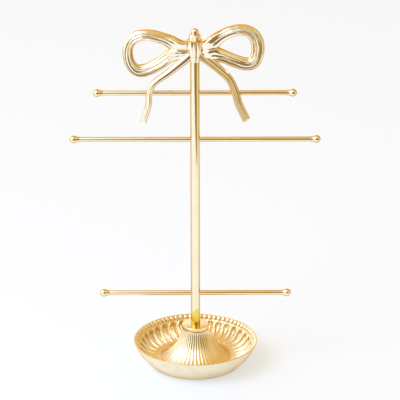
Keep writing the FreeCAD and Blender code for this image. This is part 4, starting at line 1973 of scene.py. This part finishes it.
@dataclass
class CapNut:
    """Cap nut: a chamfered hexagon under a small dome."""

    across_flats: float = 11.1 * MM
    corner_at: float = -80.0
    hexagon_h: float = 6.2 * MM
    chamfer: float = 1.1 * MM
    foot_chamfer: float = 1.1 / 3 * MM
    dome_r: float = 3.7 * MM
    dome_foot: float = 0.5 * MM
    bore: Point = (2.55 * MM, 7.5 * MM)
    corner_blunt: float = 0.12 * MM
    steps: int = 360

    def build(self, rack: FinishRack) -> None:
        """Turns the nut's blank, mills its six flats and settles it.

        Args:
            rack: finishes of the stand.
        """
        low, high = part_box("cap_nut")
        corner_r = self.across_flats / math.sqrt(3)
        hexagon_z = low.z + self.hexagon_h
        dome_z = high.z - self.dome_r
        bore_r, bore_l = self.bore
        foot_r = corner_r - self.foot_chamfer
        profile = [(bore_r, low.z), (foot_r, low.z), (corner_r, low.z + self.foot_chamfer)]
        profile += [(corner_r, hexagon_z - self.chamfer), (corner_r - self.chamfer, hexagon_z)]
        foot = (self.dome_r + self.dome_foot, hexagon_z + self.dome_foot)
        profile += round_corner(foot, self.dome_foot, first=270, last=180, count=4)
        profile += round_corner((0, dome_z), self.dome_r, first=0, last=90, count=14)
        profile += [(0, low.z + bore_l), (bore_r, low.z + bore_l)]
        piece = turned("domed_nut", profile, self.steps)
        points = points_of(piece)
        radius, angle = polar(points)
        sixth = TURN / 6
        from_flat = np.mod(angle - math.radians(self.corner_at), sixth) - sixth / 2
        flat_r = np.minimum(self.across_flats / 2 / np.cos(from_flat), corner_r - self.corner_blunt)
        put_polar(points, np.minimum(radius, flat_r), angle)
        move_points(piece, points)
        shade(piece, crease=18)
        rack.settle(piece, POLISHED_GOLD, Body.CAP, "cap_nut")


# Studio


@dataclass(frozen=True)
class Glow:
    """Part of the room round one direction, in the colour that the metal sees there.

    It begins outer degrees from its middle and is full inner degrees from it. Where it has levels, it also
    grows from the first to the second, which are heights on a sphere of radius 1.
    """

    towards: Place
    outer: float
    inner: float
    colour: Colour
    levels: Point | None = None

    def mask(
        self, wiring: Wiring, direction: bpy.types.NodeSocket, height: bpy.types.NodeSocket
    ) -> bpy.types.NodeSocket:
        """Wires how far a direction lies in this part of the room.

        Args:
            wiring: the world's shader tree.
            direction: socket with the direction looked in.
            height: socket with that direction's Z.

        Returns:
            Socket that runs from 0 outside to 1 inside.
        """
        product = wiring.add("ShaderNodeVectorMath", operation="DOT_PRODUCT")
        wiring.put(product.inputs[0], direction)
        wiring.put(product.inputs[1], Vector(self.towards).normalized())
        start, end = (math.cos(math.radians(angle)) for angle in (self.outer, self.inner))
        share = wiring.ramp(product.outputs["Value"], start, end, 0.0, 1.0)
        if self.levels is None:
            return share
        return wiring.combine("MULTIPLY", share, wiring.ramp(height, *self.levels, 0.0, 1.0))


FAR_CORNER = Glow(towards=(0.75, 0.65, 0.1), outer=60.0, inner=30.0, colour=(0.72, 0.51, 0.21, 1.0))
CANOPY = Glow(
    towards=(0.1, 0.45, 0.89),
    outer=58.0,
    inner=34.0,
    colour=(0.82, 0.49, 0.12, 1.0),
    levels=(0.4, 0.7),
)
OVERHEAD = Glow(towards=(-0.6, -0.35, 0.72), outer=42.0, inner=30.0, colour=(1.05, 1.045, 1.03, 1.0))
COVE = Glow(
    towards=(-0.7, 0.7, 0.1),
    outer=64.0,
    inner=30.0,
    colour=(1.5, 1.48, 1.43, 1.0),
    levels=(0.52, 0.38),
)
DARK_FRONT = Glow(towards=(0.26, -0.96, 0.04), outer=48.0, inner=26.0, colour=(0.27, 0.18, 0.07, 1.0))
WHITE = (1.0, 1.0, 1.0, 1.0)


@dataclass
class Studio:
    """Floor, light and camera of a bright table-top shot.

    The camera's focal length is in pixels of a square picture. aim is the point whose place in the picture
    is known: its depth from the camera, and its distance below and left of the picture's centre. The metal
    sees a room that runs from left_colour to right_colour, with each of the glows laid over those before it.
    """

    picture_px: float = 400.0
    focal_px: float = 2930.0
    sensor: float = 36.0
    pitch: float = 22.1
    roll: float = -0.12
    aim: Place = (0.0, 0.0, 24.0 * MM)
    aim_depth: float = 3001.0 * MM
    aim_below_px: float = 139.5
    aim_left_px: float = 4.7
    floor_middle: Place = (-0.9, 0.72, 0.0)
    floor_r: float = 1.71
    floor_sides: int = 128
    floor_colour: Colour = (0.44, 0.53, 0.73, 1.0)
    floor_glow: float = 0.5
    left_colour: Colour = (0.98, 0.92, 0.8, 1.0)
    right_colour: Colour = (0.89, 0.70, 0.38, 1.0)
    side_span: Point = (-0.65, 0.15)
    glows: tuple[Glow, ...] = (FAR_CORNER, CANOPY, OVERHEAD, COVE, DARK_FRONT)
    lamp_place: Place = (-1.32, -0.77, 1.73)
    lamp_target: Place = (0.0, 0.0, 0.15)
    lamp_size: float = 1.2
    lamp_power: float = 16.0

    def place_camera(self) -> None:
        """Puts a long lens where the picture was taken from."""
        data = bpy.data.cameras.new("camera")
        data.sensor_width = self.sensor
        data.lens = self.focal_px / self.picture_px * self.sensor
        data.clip_start = 0.1
        data.clip_end = 50.0
        camera = bpy.data.objects.new("camera", data)
        bpy.context.scene.collection.objects.link(camera)
        pitch = math.radians(self.pitch)
        ahead = Vector((0, math.cos(pitch), -math.sin(pitch)))
        upward = Vector((0, math.sin(pitch), math.cos(pitch)))
        scale = self.aim_depth / self.focal_px
        place = Vector(self.aim) - ahead * self.aim_depth + upward * (self.aim_below_px * scale)
        place.x += self.aim_left_px * scale
        turn = Matrix.Rotation(math.pi / 2 - pitch, 4, "X") @ Matrix.Rotation(math.radians(self.roll), 4, "Z")
        camera.matrix_world = Matrix.Translation(place) @ turn
        bpy.context.scene.camera = camera

    def lay_floor(self) -> None:
        """Lays a round pale floor that stays white to the camera outside the stand's shadow."""
        floor = begin(
            bpy.ops.mesh.primitive_circle_add,
            "floor",
            vertices=self.floor_sides,
            radius=self.floor_r,
            fill_type="NGON",
            location=self.floor_middle,
        )
        bpy.ops.object.mode_set(mode="OBJECT")
        material, wiring, shader = new_material("pale_floor")
        wiring.feed(shader, Base_Color=self.floor_colour, Roughness=0.9, Specular_IOR_Level=0.1)
        rays = wiring.add("ShaderNodeLightPath").outputs
        seen = wiring.combine("MAXIMUM", rays["Is Camera Ray"], rays["Is Glossy Ray"])
        glow = wiring.add("ShaderNodeEmission")
        wiring.feed(glow, Color=WHITE, Strength=wiring.combine("MULTIPLY", seen, self.floor_glow))
        both = wiring.add("ShaderNodeAddShader")
        wiring.put(both.inputs[0], shader.outputs[0])
        wiring.put(both.inputs[1], glow.outputs[0])
        wiring.feed(wiring.tree.nodes["Material Output"], Surface=both.outputs[0])
        floor.data.materials.append(material)

    def light(self) -> None:
        """Lights the stand by a room that is plain white to the camera."""
        world = bpy.data.worlds.new("bright_room")
        world.use_nodes = True
        bpy.context.scene.world = world
        wiring = Wiring(world.node_tree)
        direction = wiring.add("ShaderNodeTexCoord").outputs["Generated"]
        parts = wiring.add("ShaderNodeSeparateXYZ")
        wiring.put(parts.inputs[0], direction)
        to_right = wiring.ramp(parts.outputs["X"], *self.side_span, 0.0, 1.0)
        room = wiring.blend(to_right, self.left_colour, self.right_colour)
        for glow in self.glows:
            room = wiring.blend(glow.mask(wiring, direction, parts.outputs["Z"]), room, glow.colour)
        to_camera = wiring.add("ShaderNodeLightPath").outputs["Is Camera Ray"]
        background = world.node_tree.nodes["Background"]
        wiring.feed(background, Color=wiring.blend(to_camera, room, WHITE), Strength=1.0)

    def hang_lamp(self) -> None:
        """Hangs a square soft lamp that faces the stand."""
        data = bpy.data.lights.new("high_softbox", "AREA")
        data.size = self.lamp_size
        data.energy = self.lamp_power
        lamp = bpy.data.objects.new("high_softbox", data)
        bpy.context.scene.collection.objects.link(lamp)
        lamp.location = self.lamp_place
        towards = Vector(self.lamp_target) - Vector(self.lamp_place)
        lamp.rotation_euler = towards.to_track_quat("-Z", "Y").to_euler()

    def set_up(self) -> None:
        """Sets up the floor, the light and the camera."""
        self.lay_floor()
        self.light()
        self.hang_lamp()
        self.place_camera()
        bpy.context.scene.view_settings.view_transform = "Standard"


def dress_hardware(rack: FinishRack) -> None:
    """Dresses the clamping hardware inside the stand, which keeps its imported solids.

    Args:
        rack: finishes of the stand.
    """
    for node in ("base_stud", "base_nut", "base_washer", "top_stud"):
        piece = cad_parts[node]
        rack.dress(piece, ZINC_STEEL)
        LOG.info("%s: packed solid, %s", node, ZINC_STEEL.name)


def main() -> None:
    """Builds every piece, dresses it and sets up the studio."""
    logging.basicConfig(level=logging.INFO, format="%(name)s: %(message)s")
    rack = FinishRack()
    Dish().build(rack)
    Pedestal().build(rack)
    Tree().build(rack)
    Bow().build(rack)
    CapNut().build(rack)
    dress_hardware(rack)
    Studio().set_up()


if __name__ == "__main__":
    main()
